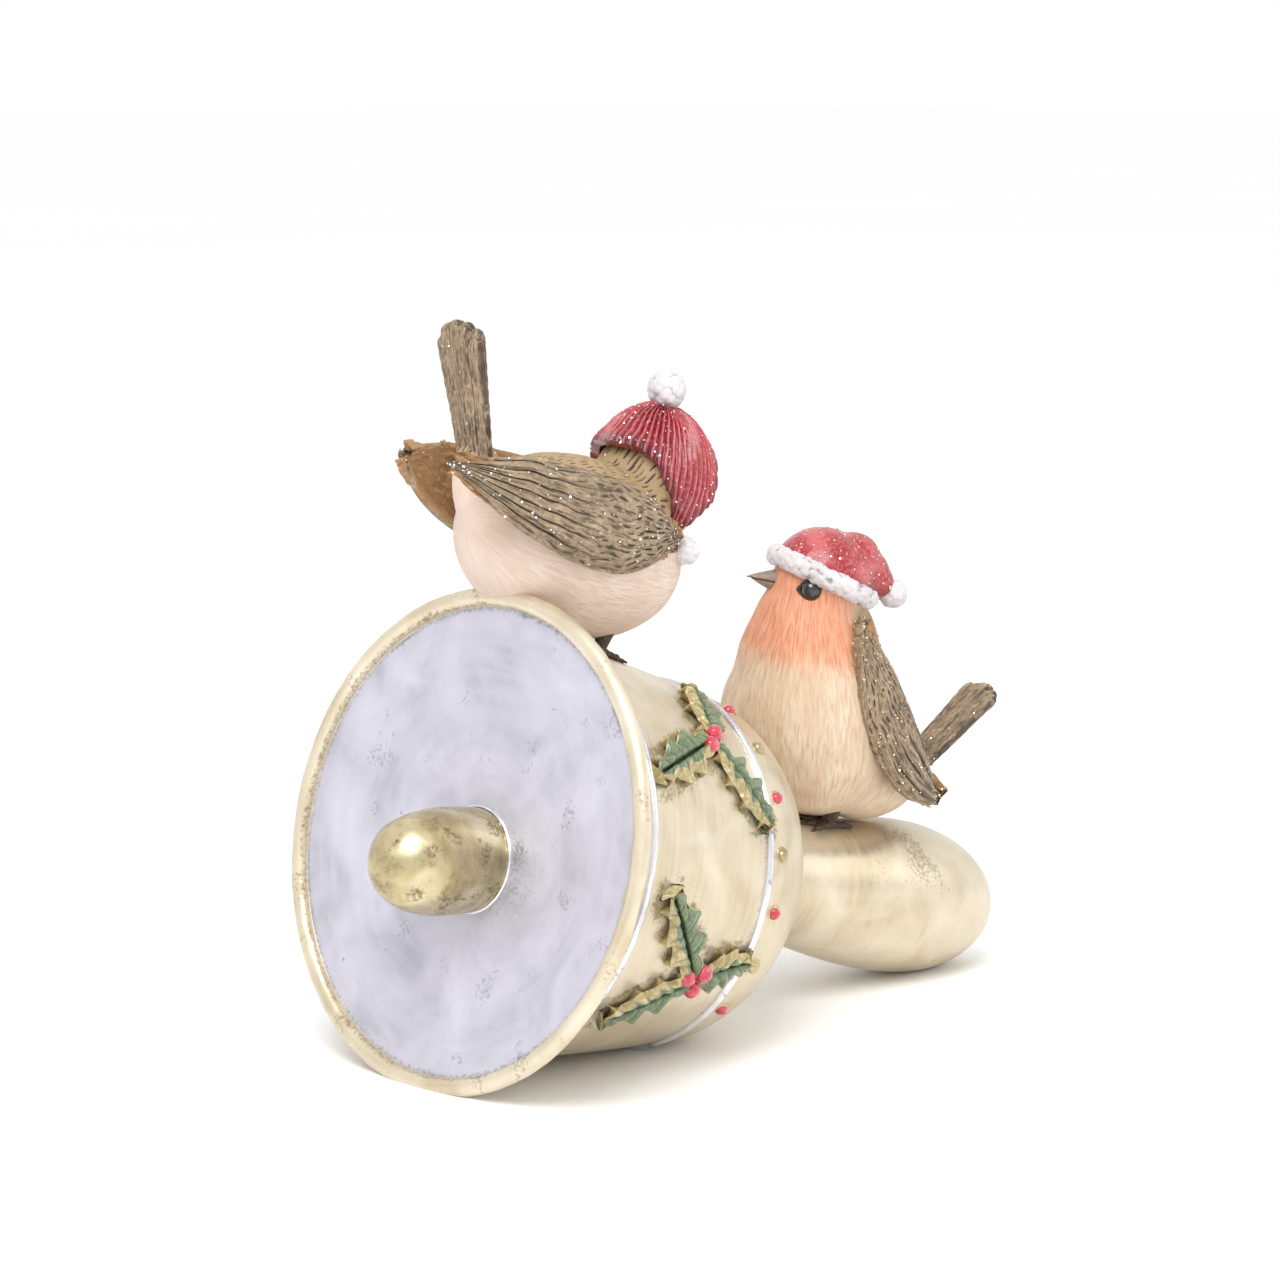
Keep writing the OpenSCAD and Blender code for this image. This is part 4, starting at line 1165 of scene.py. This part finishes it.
def tail_feathers(length: float, root_w: float, seed: float) -> Clay:
    """Nine long round-tipped feathers in two layers, from the origin along X."""
    tip_w, wide, deep = 11.0, 1.75, 1.3
    blades = []
    for layer, count in ((1, 5), (-1, 4)):
        for i in range(count):
            s = (2.0 * i / (count - 1) - 1.0) * (1.0 if layer > 0 else 0.75)
            shorter = float(scatter(np.array(float(i + 3 * layer)), seed))
            reach = length * (1.0 - 0.09 * abs(s) ** 1.3 - 0.05 * shorter)
            blade = Clay.ball((1.0, 1.0, 1.0), turn("Y", 90.0), 40, 160)
            p = blade.points
            t = np.arccos(np.clip(-p[:, 0], -1.0, 1.0)) / math.pi
            t = t + 0.08 * np.sin(2.0 * math.pi * t) / (2.0 * math.pi)
            girth = np.maximum(np.hypot(p[:, 1], p[:, 2]), 1e-6)
            left = np.clip((1.0 - t) * reach / 1.8, 0.0, 1.0)
            fill = np.sqrt(1.0 - (1.0 - left) ** 2) * ease(0.0, 0.03, t) * (0.72 + 0.28 * t)
            y, z = p[:, 1] / girth * wide * fill, p[:, 2] / girth * deep * fill
            side = np.sign(z)
            barbs = np.sin(2.0 * math.pi * (t * reach / 2.3 - np.abs(y) * 0.8 + i * 0.3))
            lines = slits(t * reach, y + 3.0 * i, 4.5, 0.5, seed + i)
            ridge = 0.18 * np.exp(-((y / 0.25) ** 2)) - 0.14 * lines + 0.05 * barbs
            lie = (root_w * (1.0 - t) + tip_w * t) / 2.0 * s * 0.8
            stack = layer * 0.85 + 0.35 * (i % 2) - 0.5 * abs(s) * layer
            bend = 0.5 * wobble(np.stack([t * 3.0, t * 0.0 + i, t * 0.0 + layer], 1), 1.0, seed)
            blade.points = np.stack(
                [t * reach, y + lie + bend, z + side * ridge * ease(0.0, 0.4, fill) + stack], 1
            )
            seam = ease(0.7, 1.0, np.abs(y) / np.maximum(wide * fill, 0.1)) * 0.55
            blade.paint("groove", np.clip(0.7 * lines + seam, 0.0, 1.0))
            blade.paint("comb", np.stack([t * reach, y * 1.4 + 5.0 * i, z], 1))
            blades.append(blade.face_out())
    return join(blades)


# ---- Rim robin ----


@dataclass
class RimRobin:
    """The robin that bends forwards on the bell, with its back to the mouth."""

    bell: BellCasting
    glitter: Glitter
    perch_x: float = 29.0
    eye_aside: float = 30.0
    length: float = 24.0
    radius: float = 16.0
    head_r: float = 10.3
    name: str = "rim_robin"
    lower_edge = (
        (-1.52, 0.4), (-1.33, 0.19), (-0.98, -0.08), (-0.56, -0.25), (-0.1, -0.26), (0.28, -0.04),
        (0.58, 0.3),
    )
    upper_edge = (
        (-1.52, 0.44), (-1.28, 0.6), (-0.88, 0.74), (-0.33, 0.8), (0.2, 0.78), (0.5, 0.58),
        (0.58, 0.34),
    )

    def __post_init__(self) -> None:
        """Finds the robin's frames."""
        bell = self.bell
        s = bell.shape
        taper = math.atan((s.waist_r - s.shoulder_r) / (s.shoulder_x - s.waist_x))
        self.slope = bell.tilt + math.degrees(taper)
        self.stand = (
            bell.place @ move(self.perch_x, 0.0, float(s.outer(self.perch_x)))
            @ turn("Y", -bell.tilt) @ turn("Z", -6.0)
        )
        self.to_body = move(-self.length / 3.0, 0.0, 20.8) @ turn("Y", 18.0)
        self.to_head = move(0.38 * self.length, 0.0, 20.8 + 0.62 * self.radius)
        self.to_hat = self.to_head @ move(0.0, 0.0, 0.5) @ turn("Y", 14.0)
        self.to_tail = self.to_body @ move(-0.87 * self.length, 0.0, 1.0) @ turn("Y", -116.0)

    def mantle_edge(self, x: np.ndarray) -> np.ndarray:
        """Lower edge of the brown back at a share of the body's length."""
        line = rounded(self.lower_edge)
        return np.interp(x, line[:, 0], line[:, 1])

    def body(self) -> None:
        """Body, neck and head in one skin, with the feathers of the back carved in."""
        parts = [
            Clay.ball((self.length - 1.1, self.radius, self.radius), self.to_body @ move(-1.1, 0.0, 0.0)),
            Clay.ball((self.head_r,) * 3, self.to_head),
            Clay.ball((10.5, 10.2, 9.0), move(2.6, 0.0, 26.5)),
            Clay.ball((9.5, 5.0, 5.0), self.to_tail @ move(4.0, 0.0, 0.0)),
        ]
        clay = join(parts).blend(1.05, 9, 2)
        p = clay.points
        b = (np.c_[p, np.ones(len(p))] @ np.array(self.to_body.inverted()).T)[:, :3]
        share = b / [self.length, self.radius, self.radius]
        swirl = np.c_[wobble(b, 7.0, 1.0), wobble(b, 7.0, 5.0)] * 1.5
        round_at = np.arctan2(b[:, 1], b[:, 2]) * self.radius
        along, across = b[:, 0] + swirl[:, 0], round_at + swirl[:, 1] + 0.25 * b[:, 0] * np.sign(b[:, 1])
        hem = self.mantle_edge(share[:, 0]) + 0.3 * ease(-0.1, -0.8, share[:, 0]) + 0.06
        top = ease(-0.04, 0.06, share[:, 2] - hem)
        mantle = top * (1.0 - ease(0.5, 0.66, share[:, 0] - 0.22 * share[:, 2]))
        cuts = slits(along, across, 2.8, 1.0, 2.0) * mantle
        tuft = wobble(np.stack([along, across * 2.0, b[:, 2]], 1), 2.6, 8.0)
        clay.push(0.16 * tuft * mantle - 0.42 * cuts + 0.1 * wobble(p, 6.0, 3.0))
        clay.paint("mantle", mantle).paint("groove", cuts)
        blush = 0.1 * ease(0.5, 0.9, share[:, 0]) * (1.0 - mantle)
        face = ease(2.0, 7.0, p[:, 0] - 9.0) * ease(22.0, 27.0, p[:, 2]) * 0.75
        clay.paint("bib", np.maximum(blush, face))
        clay.paint("comb", np.stack([b[:, 0], round_at, b[:, 2]], 1)).place(self.stand)
        self.back = skin_of(clay, mantle + 1e-6)
        finish_piece(clay, "rim_robin_down", "belly_cream", [Look.CREAM.material()], "rim_robin_body")

    def wing(self, side: int, word: str) -> None:
        """One wing: short curled tufts at the shoulder, long feathers to the tip."""
        columns, rows, reach, thick = 250, 100, 1.86 * self.length, 2.2
        fold = (2.0, 1.2) if side > 0 else (0.0, 0.0)
        clay = Clay.start(
            bpy.ops.mesh.primitive_grid_add, x_subdivisions=columns, y_subdivisions=rows, size=2.0
        )
        grid = clay.points
        a, b = (grid[:, 0] + 1.0) / 2.0, (grid[:, 1] + 1.0) / 2.0
        low, high = rounded(self.lower_edge), rounded(self.upper_edge)
        x = -1.52 + 2.1 * (0.5 - 0.5 * np.cos(math.pi * a))
        drawn = x - 0.1 * ease(-0.2, 0.5, x)
        z = np.interp(x, low[:, 0], low[:, 1]) * (1.0 - b) + np.interp(x, high[:, 0], high[:, 1]) * b
        x, z = drawn * self.length + fold[0], z * self.radius + fold[1]
        tipwards = 1.0 - a
        along = -x + 1.2 * wobble(np.stack([x, z, b], 1), 6.0, 2.0)
        across = b * 13.0 + 1.1 * wobble(np.stack([x, z, b], 1), 5.0, 6.0) * ease(0.0, 0.7, a)
        short = slits(along, across, 2.7, 0.95, 3.0)
        quill = slits(along, across, 11.0, 1.45, 7.0)
        share = ease(0.38, 0.62, tipwards)
        lane = np.abs(np.mod(across / 1.75, 1.0) - 0.5)
        quill = np.maximum(0.6 * quill, ease(0.36, 0.5, lane) * ease(0.0, 0.3, 1.0 - a))
        cuts = np.maximum(short * (1.0 - share), quill * share)
        rim = np.minimum(b, 1.0 - b) * 2.0
        cuts = cuts * ease(0.0, 0.1, rim)
        body_back = np.where(x < 0.0, reach, self.length)
        girth = self.radius * np.sqrt(np.clip(1.0 - (x / body_back) ** 2, 0.0, 1.0))
        height = 0.78 * girth * np.tanh(np.abs(z) / (0.78 * girth))
        rise = thick * (0.35 + 0.65 * ease(0.02, 0.5, tipwards)) * (0.55 + 0.45 * ease(0.0, 0.35, rim))
        rise = rise * ease(0.0, 0.12, a) ** 0.25
        relief = 0.2 * wobble(np.stack([along, across * 2.2, b * 4.0], 1), 2.4, 9.0) - 0.4 * cuts
        relief = relief * ease(0.0, 0.12, rim)
        flank = np.sqrt(girth**2 - np.where(x < -20.0, height, np.minimum(np.abs(z), 0.8 * girth)) ** 2)
        flank = flank + rise + relief
        clay.points = np.stack([x, side * flank, z], 1)
        clay.paint("groove", cuts).paint("comb", np.stack([along, across * 1.15, b * 3.0], 1))
        clay.face_to(np.array([[0.0, side, 0.0]]))
        clay.obj.data.materials.append(Look.FEATHER.material())
        clay.obj.data.materials.append(Look.TAN.material())
        clay.modify("SOLIDIFY", thickness=1.5, offset=-1.0, material_offset=1, material_offset_rim=0)
        clay.place(self.stand @ self.to_body)
        setattr(self, f"{word}_skin", skin_of(clay, np.ones(len(clay.points))))
        looks = [Look.FEATHER.material(), Look.TAN.material()]
        finish_piece(clay, f"rim_robin_{word}_feathers", "feather_brown", looks, f"rim_robin_{word}_wing")

    def tail(self) -> None:
        """The cocked tail."""
        clay = tail_feathers(35.6, 7.0, 2.0).place(self.stand @ self.to_tail)
        self.tail_skin = skin_of(clay, np.ones(len(clay.points)))
        finish_piece(
            clay, "rim_robin_tail_feathers", "feather_brown", [Look.FEATHER.material()], "rim_robin_tail"
        )

    def hat(self) -> None:
        """The ribbed hat, with ear flaps that come down to a point, and painted shade under its rolled edge.
        """
        rim = np.array([
            (0.0, 7.3), (20.0, 6.4), (34.0, 3.8), (42.0, 0.8), (47.0, -1.4), (60.0, -3.4), (74.0, -7.6),
            (86.0, -10.2), (92.0, -10.4), (98.0, -6.6),
            (105.0, -2.75), (126.0, 2.6), (144.0, 4.0), (180.0, 4.3),
        ])
        outer, peak, ribs, shell = self.head_r + 1.3, 2.4, 52, 0.8
        clay = Clay.start(bpy.ops.mesh.primitive_uv_sphere_add, segments=416, ring_count=150, radius=1.0)
        p = clay.points
        polar = np.arccos(np.clip(p[:, 2], -1.0, 1.0)) / math.pi
        heading = np.arctan2(p[:, 1], p[:, 0])
        down = np.interp(np.abs(np.degrees(heading)), rim[:, 0], rim[:, 1])
        stop = np.arccos(np.clip(down / outer, -1.0, 1.0))
        out = np.clip(polar / shell, 0.0, 1.0)
        back = np.clip((polar - shell) / (1.0 - shell), 0.0, 1.0)
        theta = stop * out
        hem = 1.0 - 0.13 * ease(0.0, 0.35, back) - 0.6 * ease(0.35, 1.0, back)
        theta = theta * (1.0 - ease(0.3, 1.0, back))
        wave = np.abs(np.cos(ribs / 2.0 * heading + 0.7 * wobble(p, 0.4, 3.0)))
        folds = (1.0 - wave**1.6) * ease(0.02, 0.2, out) * (1.0 - ease(0.0, 0.1, back))
        radius = outer * hem + 0.5 * ease(0.75, 0.97, out) * (1.0 - ease(0.0, 0.3, back)) - 0.55 * folds
        radius = radius * (1.0 + 0.03 * np.cos(2.0 * heading))
        tall = np.where(np.cos(theta) > 0.0, (outer + peak) / outer, 1.0)
        clay.points = np.stack([
            radius * np.sin(theta) * np.cos(heading),
            radius * np.sin(theta) * np.sin(heading),
            radius * np.cos(theta) * tall,
        ], 1)
        clay.face_out()
        patch = ease(-0.2, 0.5, wobble(clay.points, 4.0, 6.0)) * (1.0 - ease(0.72, 0.95, out))
        clay.paint("crest", 0.8 * ease(0.86, 0.99, wave) * (0.3 + 0.7 * patch))
        # The valleys between the ribs take the wash; the rolled edge is darker with painted shade.
        clay.paint("groove", np.clip(0.45 * folds + 0.35 * ease(0.8, 1.0, out), 0.0, 1.0))
        clay.place(self.stand @ self.to_hat)
        self.hat_skin = skin_of(clay, (1.0 - ease(0.0, 0.02, back)) + 1e-6)
        finish_piece(clay, "rim_robin_ribbed_hat", "hat_red", [Look.FELT.material()], "rim_robin_hat")

    def pompoms(self) -> None:
        """A pompom on the hat and one on each flap."""
        top = self.stand @ self.to_hat @ move(0.0, 0.0, self.head_r + 1.3 + 2.4 + 0.75 * 3.3)
        clay = snowball(3.3, 0.5, 1.0).place(top)
        finish_piece(clay, "rim_robin_top_pompom", "snow_white", [Look.SNOW.material()], "rim_robin_pompom")
        for side, word in ((1, "left"), (-1, "right")):
            clay = snowball(2.5, 0.55, 3.0 + side)
            clay.place(self.stand @ self.to_head @ move(-1.0, side * 0.69 * self.radius, -0.4 - self.head_r))
            node = f"rim_robin_{word}_flap_pompom"
            finish_piece(clay, f"rim_robin_{word}_ear_pompom", "snow_white", [Look.SNOW.material()], node)

    def build(self) -> None:
        """The whole robin."""
        self.body()
        self.wing(1, "left")
        self.wing(-1, "right")
        self.tail()
        self.hat()
        self.pompoms()
        eyes(self.stand @ self.to_head, self.head_r, 1.9, self.eye_aside, self.name)
        beak(self.stand @ self.to_head, self.head_r, 4.8, self.name)
        for side, word in ((1, "left"), (-1, "right")):
            at = self.stand @ move(-6.0, side * 4.2, 6.0 * math.tan(math.radians(self.slope)))
            at = at @ turn("Y", self.slope) @ turn("X", -side * 7.0)
            foot(at, 6.5, self.name, word)
        skins = [self.back, self.right_skin, self.left_skin, self.tail_skin]
        for tag, skin, count in zip(("back", "right_wing", "left_wing", "tail"), skins, (170, 260, 90, 60)):
            self.glitter.scatter(
                f"rim_robin_{tag}_glitter", "feather_brown",
                Look.GOLD_FLAKE if tag == "back" else Look.WHITE_FLAKE,
                skin.places, skin.normals, skin.hold, count, 0.24,
            )
        self.glitter.scatter(
            "rim_robin_hat_glitter", "hat_red", Look.WHITE_FLAKE, self.hat_skin.places,
            self.hat_skin.normals, self.hat_skin.hold, 300, 0.22,
        )


# ---- Handle robin ----


@dataclass
class HandleRobin:
    """The robin that sits upright on the handle and looks past the bell."""

    bell: BellCasting
    glitter: Glitter
    perch_x: float = 91.0
    eye_aside: float = 64.0
    radius: float = 16.8
    head_r: float = 9.3
    name: str = "handle_robin"
    back_edge = ((-1.5, -0.88), (-1.28, -0.44), (-1.02, -0.06), (-0.74, 0.4), (-0.48, 0.86), (-0.24, 1.22))
    front_edge = (
        (-1.44, -0.9), (-0.95, -0.86), (-0.55, -0.68), (-0.25, -0.35), (-0.05, 0.05), (0.02, 0.5),
        (-0.05, 0.95), (-0.2, 1.22),
    )

    def __post_init__(self) -> None:
        """Finds the robin's frames."""
        bell = self.bell
        s = bell.shape
        self.grip = s.handle(self.perch_x)
        self.stand = (
            bell.place @ move(self.perch_x, 0.0, self.grip)
            @ turn("Y", -bell.tilt) @ turn("Z", 160.0)
        )
        self.to_body = move(0.0, 0.0, 17.6)
        self.to_head = self.to_body @ move(0.5, 0.0, 25.8) @ turn("Z", -10.0)
        self.to_hat = self.to_head @ move(-0.8, 0.0, 2.4) @ turn("Y", -27.0)
        self.to_tail = self.to_body @ move(-1.15 * self.radius, 0.0, -9.0) @ turn("Y", 221.0)

    def body(self) -> None:
        """Plump body, full throat and head in one skin."""
        r = self.radius
        pear = [
            (0.0, -1.0), (0.4, -0.93), (0.72, -0.72), (0.93, -0.4), (1.0, 0.0), (0.98, 0.3), (0.9, 0.6),
            (0.78, 0.9), (0.66, 1.15), (0.45, 1.35), (0.0, 1.45),
        ]
        trunk = turned([(r * up, r * out, 1.0) for out, up in pear], 64, 60)
        trunk.obj.data.transform(self.to_body @ turn("Y", 14.0) @ turn("Y", -90.0))
        parts = [
            trunk,
            Clay.ball((13.5, 11.8, 11.8), self.to_body @ move(-7.8, 0.0, -6.3) @ turn("Y", -20.0)),
            Clay.ball((self.head_r, self.head_r, self.head_r * 0.98), self.to_head),
            Clay.ball((9.8, 9.8, 9.2), self.to_body @ move(2.9, 0.0, 20.0)),
            Clay.ball((15.6, 15.2, 15.0), self.to_body @ move(3.6, 0.0, 3.0)),
            Clay.ball((8.6, 9.6, 13.0), self.to_body @ move(-2.6, 0.0, 15.0) @ turn("Y", 14.0)),
        ]
        clay = join(parts).blend(1.0, 8, 2)
        p = clay.points
        b = p - [0.0, 0.0, 17.6]
        front = ease(0.0, 10.0, p[:, 0])
        throat = np.exp(-(((b[:, 2] - 19.6) / 2.2) ** 2)) * front
        clay.push(0.5 * throat + 0.12 * wobble(p, 5.0, 4.0))
        round_at = np.arctan2(p[:, 1], p[:, 0] - 1.0)
        behind = ease(1.75, 2.25, np.abs(round_at) + 0.1 * wobble(p, 3.0, 2.0))
        mantle = behind * ease(-12.0, -5.0, b[:, 2]) * (1.0 - ease(21.0, 24.0, b[:, 2]))
        girth = np.hypot(p[:, 1], p[:, 0])
        sway = 1.1 * wobble(p, 8.0, 7.0)
        across = round_at * 13.0 + sway
        cuts = slits(-b[:, 2] + sway, across, 3.2, 1.0, 5.0) * mantle
        hairs = slits(-b[:, 2] + sway, round_at * 15.0 + 1.5 * sway, 3.0, 0.8, 9.0) * (1.0 - mantle)
        combed = ease(-8.0, 4.0, b[:, 2]) * (1.0 - ease(25.0, 29.0, b[:, 2]))
        clay.push(-0.4 * cuts - 0.1 * hairs * combed)
        clay.paint("mantle", mantle).paint("groove", np.maximum(cuts, 0.13 * hairs * combed))
        line = 12.6 + 2.0 * np.cos(round_at) + 1.2 * wobble(p, 4.0, 6.0)
        bib = ease(-3.2, 3.4, b[:, 2] - line) * (1.0 - 0.75 * ease(1.5, 2.3, np.abs(round_at)))
        clay.paint("bib", np.clip(bib, 0.0, 1.0))
        clay.paint("comb", np.stack([b[:, 2], round_at * 14.0 + 0.4 * sway, girth], 1)).place(self.stand)
        self.back = skin_of(clay, mantle + 1e-6)
        finish_piece(clay, "handle_robin_down", "breast_orange", [Look.ROBIN.material()], "handle_robin_body")

    def wing(self, side: int, word: str) -> None:
        """One folded wing: small feathers above, four long ones to the tip."""
        r, lean, thick = self.radius, math.radians(112.0), 2.2
        clay = Clay.start(bpy.ops.mesh.primitive_grid_add, x_subdivisions=240, y_subdivisions=90, size=2.0)
        grid = clay.points
        a, b = (grid[:, 0] + 1.0) / 2.0, (grid[:, 1] + 1.0) / 2.0
        back, front = rounded(self.back_edge), rounded(self.front_edge)
        t_back, t_front = np.linspace(0.0, 1.0, len(back)), np.linspace(0.0, 1.0, len(front))
        x = np.interp(a, t_back, back[:, 0]) * b + np.interp(a, t_front, front[:, 0]) * (1.0 - b)
        z = np.interp(a, t_back, back[:, 1]) * b + np.interp(a, t_front, front[:, 1]) * (1.0 - b)
        x, z = x * r, z * r
        down = x * math.cos(lean) - z * math.sin(lean)
        aside = x * math.sin(lean) + z * math.cos(lean)
        girth = r * np.sqrt(np.clip(1.0 - (down / (2.7 * r)) ** 2, 0.0, 1.0))
        tipwards = 1.0 - a
        warp = np.stack([x, z, b], 1)
        along = down + 0.8 * wobble(warp, 5.0, 2.0)
        across = b * 11.0 + 0.9 * wobble(warp, 4.0, 6.0) * ease(0.1, 0.7, a)
        share = ease(0.45, 0.6, tipwards)
        lane = np.abs(np.mod(across / 2.3, 1.0) - 0.5)
        quill = np.maximum(0.6 * slits(along, across, 9.0, 1.15, 8.0), ease(0.34, 0.48, lane))
        cuts = np.maximum(slits(along, across, 2.2, 0.95, 4.0) * (1.0 - share), quill * share)
        rim = np.minimum(b, 1.0 - b) * 2.0
        cuts = cuts * ease(0.0, 0.1, rim)
        rise = thick * (-0.5 + 1.5 * ease(0.0, 0.5, tipwards)) * (0.5 + 0.5 * ease(0.0, 0.3, rim))
        relief = 0.25 * wobble(np.stack([along, across * 2.0, b * 4.0], 1), 2.2, 9.0) - 0.4 * cuts
        relief = relief * ease(0.0, 0.12, rim)
        flank = np.sqrt(np.maximum(girth**2 - aside**2, 0.4)) + rise + relief
        clay.points = np.stack([x, side * flank, z], 1)
        clay.paint("groove", cuts).paint("comb", np.stack([along, across * 1.15, b * 3.0], 1))
        clay.face_to(np.array([[0.0, side, 0.0]]))
        clay.obj.data.materials.append(Look.FEATHER.material())
        clay.obj.data.materials.append(Look.TAN.material())
        clay.modify("SOLIDIFY", thickness=1.6, offset=-1.0, material_offset=1, material_offset_rim=0)
        clay.place(self.stand @ self.to_body)
        setattr(self, f"{word}_skin", skin_of(clay, np.ones(len(clay.points))))
        looks = [Look.FEATHER.material(), Look.TAN.material()]
        finish_piece(
            clay, f"handle_robin_{word}_feathers", "feather_brown", looks, f"handle_robin_{word}_wing"
        )

    def tail(self) -> None:
        """The raised tail."""
        clay = tail_feathers(22.6, 7.5, 5.0).place(self.stand @ self.to_tail)
        self.tail_skin = skin_of(clay, np.ones(len(clay.points)))
        finish_piece(
            clay, "handle_robin_tail_feathers", "feather_brown", [Look.FEATHER.material()],
            "handle_robin_tail",
        )

    def hat(self) -> None:
        """A red hat whose point is folded down behind, in a white furry trim, with painted shade on the hat's
        lower edge and in the trim's crevices.
        """
        dome = self.head_r + 0.3
        parts = [Clay.ball((dome, dome, dome - 0.3))]
        for x, z, size in ((-4.0, 5.0, 5.6), (-7.4, 4.4, 4.4), (-10.3, 3.8, 3.1), (-12.4, 3.2, 2.1)):
            parts.append(Clay.ball((size,) * 3, move(x, 0.0, z)))
        clay = join(parts).blend(0.6, 8, 1)
        clay.cut((0.0, 0.0, -0.6), (0.0, 0.0, 1.0))
        p = clay.points
        crease = slits(p[:, 2] + 0.6 * p[:, 0], p[:, 1] * 1.3 + 0.5 * wobble(p, 4.0, 2.0), 9.0, 4.2, 6.0)
        clay.push(0.16 * wobble(p, 3.4, 5.0) - 0.06 * crease)
        clay.paint("crest", 0.45 * ease(0.0, 0.6, wobble(p, 5.0, 9.0)))
        # Creases, and painted shade darkening the hat towards its lower edge inside the trim.
        clay.paint("groove", 0.2 * crease + 0.4 * (1.0 - ease(0.5, 3.0, p[:, 2]))).place(
            self.stand @ self.to_hat
        )
        self.hat_skin = skin_of(clay, ease(0.3, 2.0, p[:, 2]) + 1e-6)
        finish_piece(clay, "handle_robin_felt_hat", "hat_red", [Look.FELT.material()], "handle_robin_hat")
        trim = Clay.start(
            bpy.ops.mesh.primitive_torus_add, major_radius=self.head_r + 0.1, minor_radius=1.95,
            major_segments=320, minor_segments=56,
        )
        nubs = bumps(trim.points, 1.3, 6.0)
        trim.push(0.2 - 0.55 * nubs**1.5 + 0.12 * wobble(trim.points, 0.7, 3.0))
        # Grey in the trim's crevices is painted shade.
        trim.paint("groove", ease(0.62, 0.95, nubs) * 0.8).place(self.stand @ self.to_hat)
        finish_piece(
            trim, "handle_robin_fur_trim", "snow_white", [Look.SNOW.material()], "handle_robin_hat_trim"
        )
        ball = snowball(2.6, 0.25, 8.0).place(self.stand @ self.to_hat @ move(-14.0, 0.0, 3.0))
        finish_piece(
            ball, "handle_robin_hat_pompom", "snow_white", [Look.SNOW.material()], "handle_robin_pompom"
        )

    def build(self) -> None:
        """The whole robin."""
        self.body()
        self.wing(1, "left")
        self.wing(-1, "right")
        self.tail()
        self.hat()
        eyes(self.stand @ self.to_head, self.head_r, 1.9, self.eye_aside, self.name)
        beak(self.stand @ self.to_head, self.head_r, 4.8, self.name)
        drop = self.grip - math.sqrt(self.grip**2 - 4.2**2)
        for side, word in ((1, "left"), (-1, "right")):
            at = self.stand @ move(0.5, side * 4.2, -drop) @ turn("Y", -8.0) @ turn("X", -side * 20.0)
            foot(at, 5.0, self.name, word)
        skins = [self.back, self.left_skin, self.right_skin, self.tail_skin]
        for tag, skin, count in zip(("back", "left_wing", "right_wing", "tail"), skins, (130, 330, 200, 50)):
            self.glitter.scatter(
                f"handle_robin_{tag}_glitter", "feather_brown", Look.GOLD_FLAKE,
                skin.places, skin.normals, skin.hold, count, 0.2,
            )
        self.glitter.scatter(
            "handle_robin_hat_glitter", "hat_red", Look.GOLD_FLAKE, self.hat_skin.places,
            self.hat_skin.normals, self.hat_skin.hold, 190, 0.2,
        )


# ---- Studio ----


@dataclass(frozen=True)
class Studio:
    """A pale floor, soft light and a camera in front of the mouth, to its left.

    The camera looks at the middle of the ornament from far away, through a long lens.
    """

    azimuth: float = -42.3
    elevation: float = 11.4
    distance: float = 0.704
    lens: float = 115.06
    aside: float = 0.04481
    above: float = 0.04857

    def camera(self, mouth: Vector) -> None:
        """The camera, aimed to the right of and above the middle of the mouth."""
        a, e = math.radians(self.azimuth), math.radians(self.elevation)
        back = Vector((math.sin(a) * math.cos(e), -math.cos(a) * math.cos(e), math.sin(e)))
        right = Vector((math.cos(a), math.sin(a), 0.0))
        up = back.cross(right)
        clear_bench()
        bpy.ops.object.camera_add(location=mouth + back * self.distance)
        camera = bpy.context.object
        camera.data.lens = self.lens
        aim = -back + right * self.aside + up * self.above
        camera.rotation_euler = aim.to_track_quat("-Z", "Y").to_euler()
        camera.data.clip_start = 0.01
        bpy.context.scene.camera = camera

    def floor(self) -> None:
        """A wide pale floor that meets the pale background."""
        clay = Clay.start(bpy.ops.mesh.primitive_plane_add, size=12.0)
        clay.edit(bpy.ops.mesh.subdivide, number_cuts=4)
        pot = Pot("pale_studio_board", Roughness=0.9)
        cloud = pot.add("TexNoise", {"Scale": 1 / 400.0}, {"Vector": pot.mm}).outputs[0]
        clay.obj.data.materials.append(pot.finish(pot.mix(cloud, "#ffffff", "#fcfcfc"), cloud, 0.1, 0.02))
        clay.obj.name = "studio_floor"

    def lights(self) -> None:
        """A soft light above and to the left, a weaker one to the right, and a white room."""
        for place, energy, size in (
            ((-0.45, -0.3, 0.8), 5.5, 0.5),
            ((0.6, -0.6, 0.45), 0.9, 0.5),
        ):
            clear_bench()
            bpy.ops.object.light_add(type="AREA", location=place)
            light = bpy.context.object
            light.data.energy = energy
            light.data.size = size
            light.rotation_euler = (
                (Vector((0.0, 0.0, 0.05)) - Vector(place)).to_track_quat("-Z", "Y").to_euler()
            )
        world = bpy.data.worlds.new("white_room")
        world.use_nodes = True
        bpy.context.scene.world = world
        world.node_tree.nodes["Background"].inputs[0].default_value = (1.0, 1.0, 1.0, 1.0)
        world.node_tree.nodes["Background"].inputs[1].default_value = 1.0
        bpy.context.scene.view_settings.view_transform = "Standard"


def dress_pins() -> None:
    """Gives the steel pins that stay from the frame their metal."""
    for node in ("clapper_pin", "handle_dowel"):
        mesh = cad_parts[node].data
        mesh.materials.clear()
        mesh.materials.append(Look.STEEL.material())
        LOG.info("%s: finished", node)


def main() -> None:
    """Builds the ornament and its studio."""
    logging.basicConfig(level=logging.INFO, format="%(message)s")
    bell = BellCasting(BellShape())
    studio = Studio()
    studio.camera(bell.place.translation * MM)
    studio.lights()
    studio.floor()
    bell.shell()
    bell.dish()
    bell.clapper()
    bell.handle()
    bell.bands()
    bell.beads()
    Holly(bell).build()
    glitter = Glitter()
    RimRobin(bell, glitter).build()
    HandleRobin(bell, glitter).build()
    dress_pins()


if __name__ == "__main__":
    main()
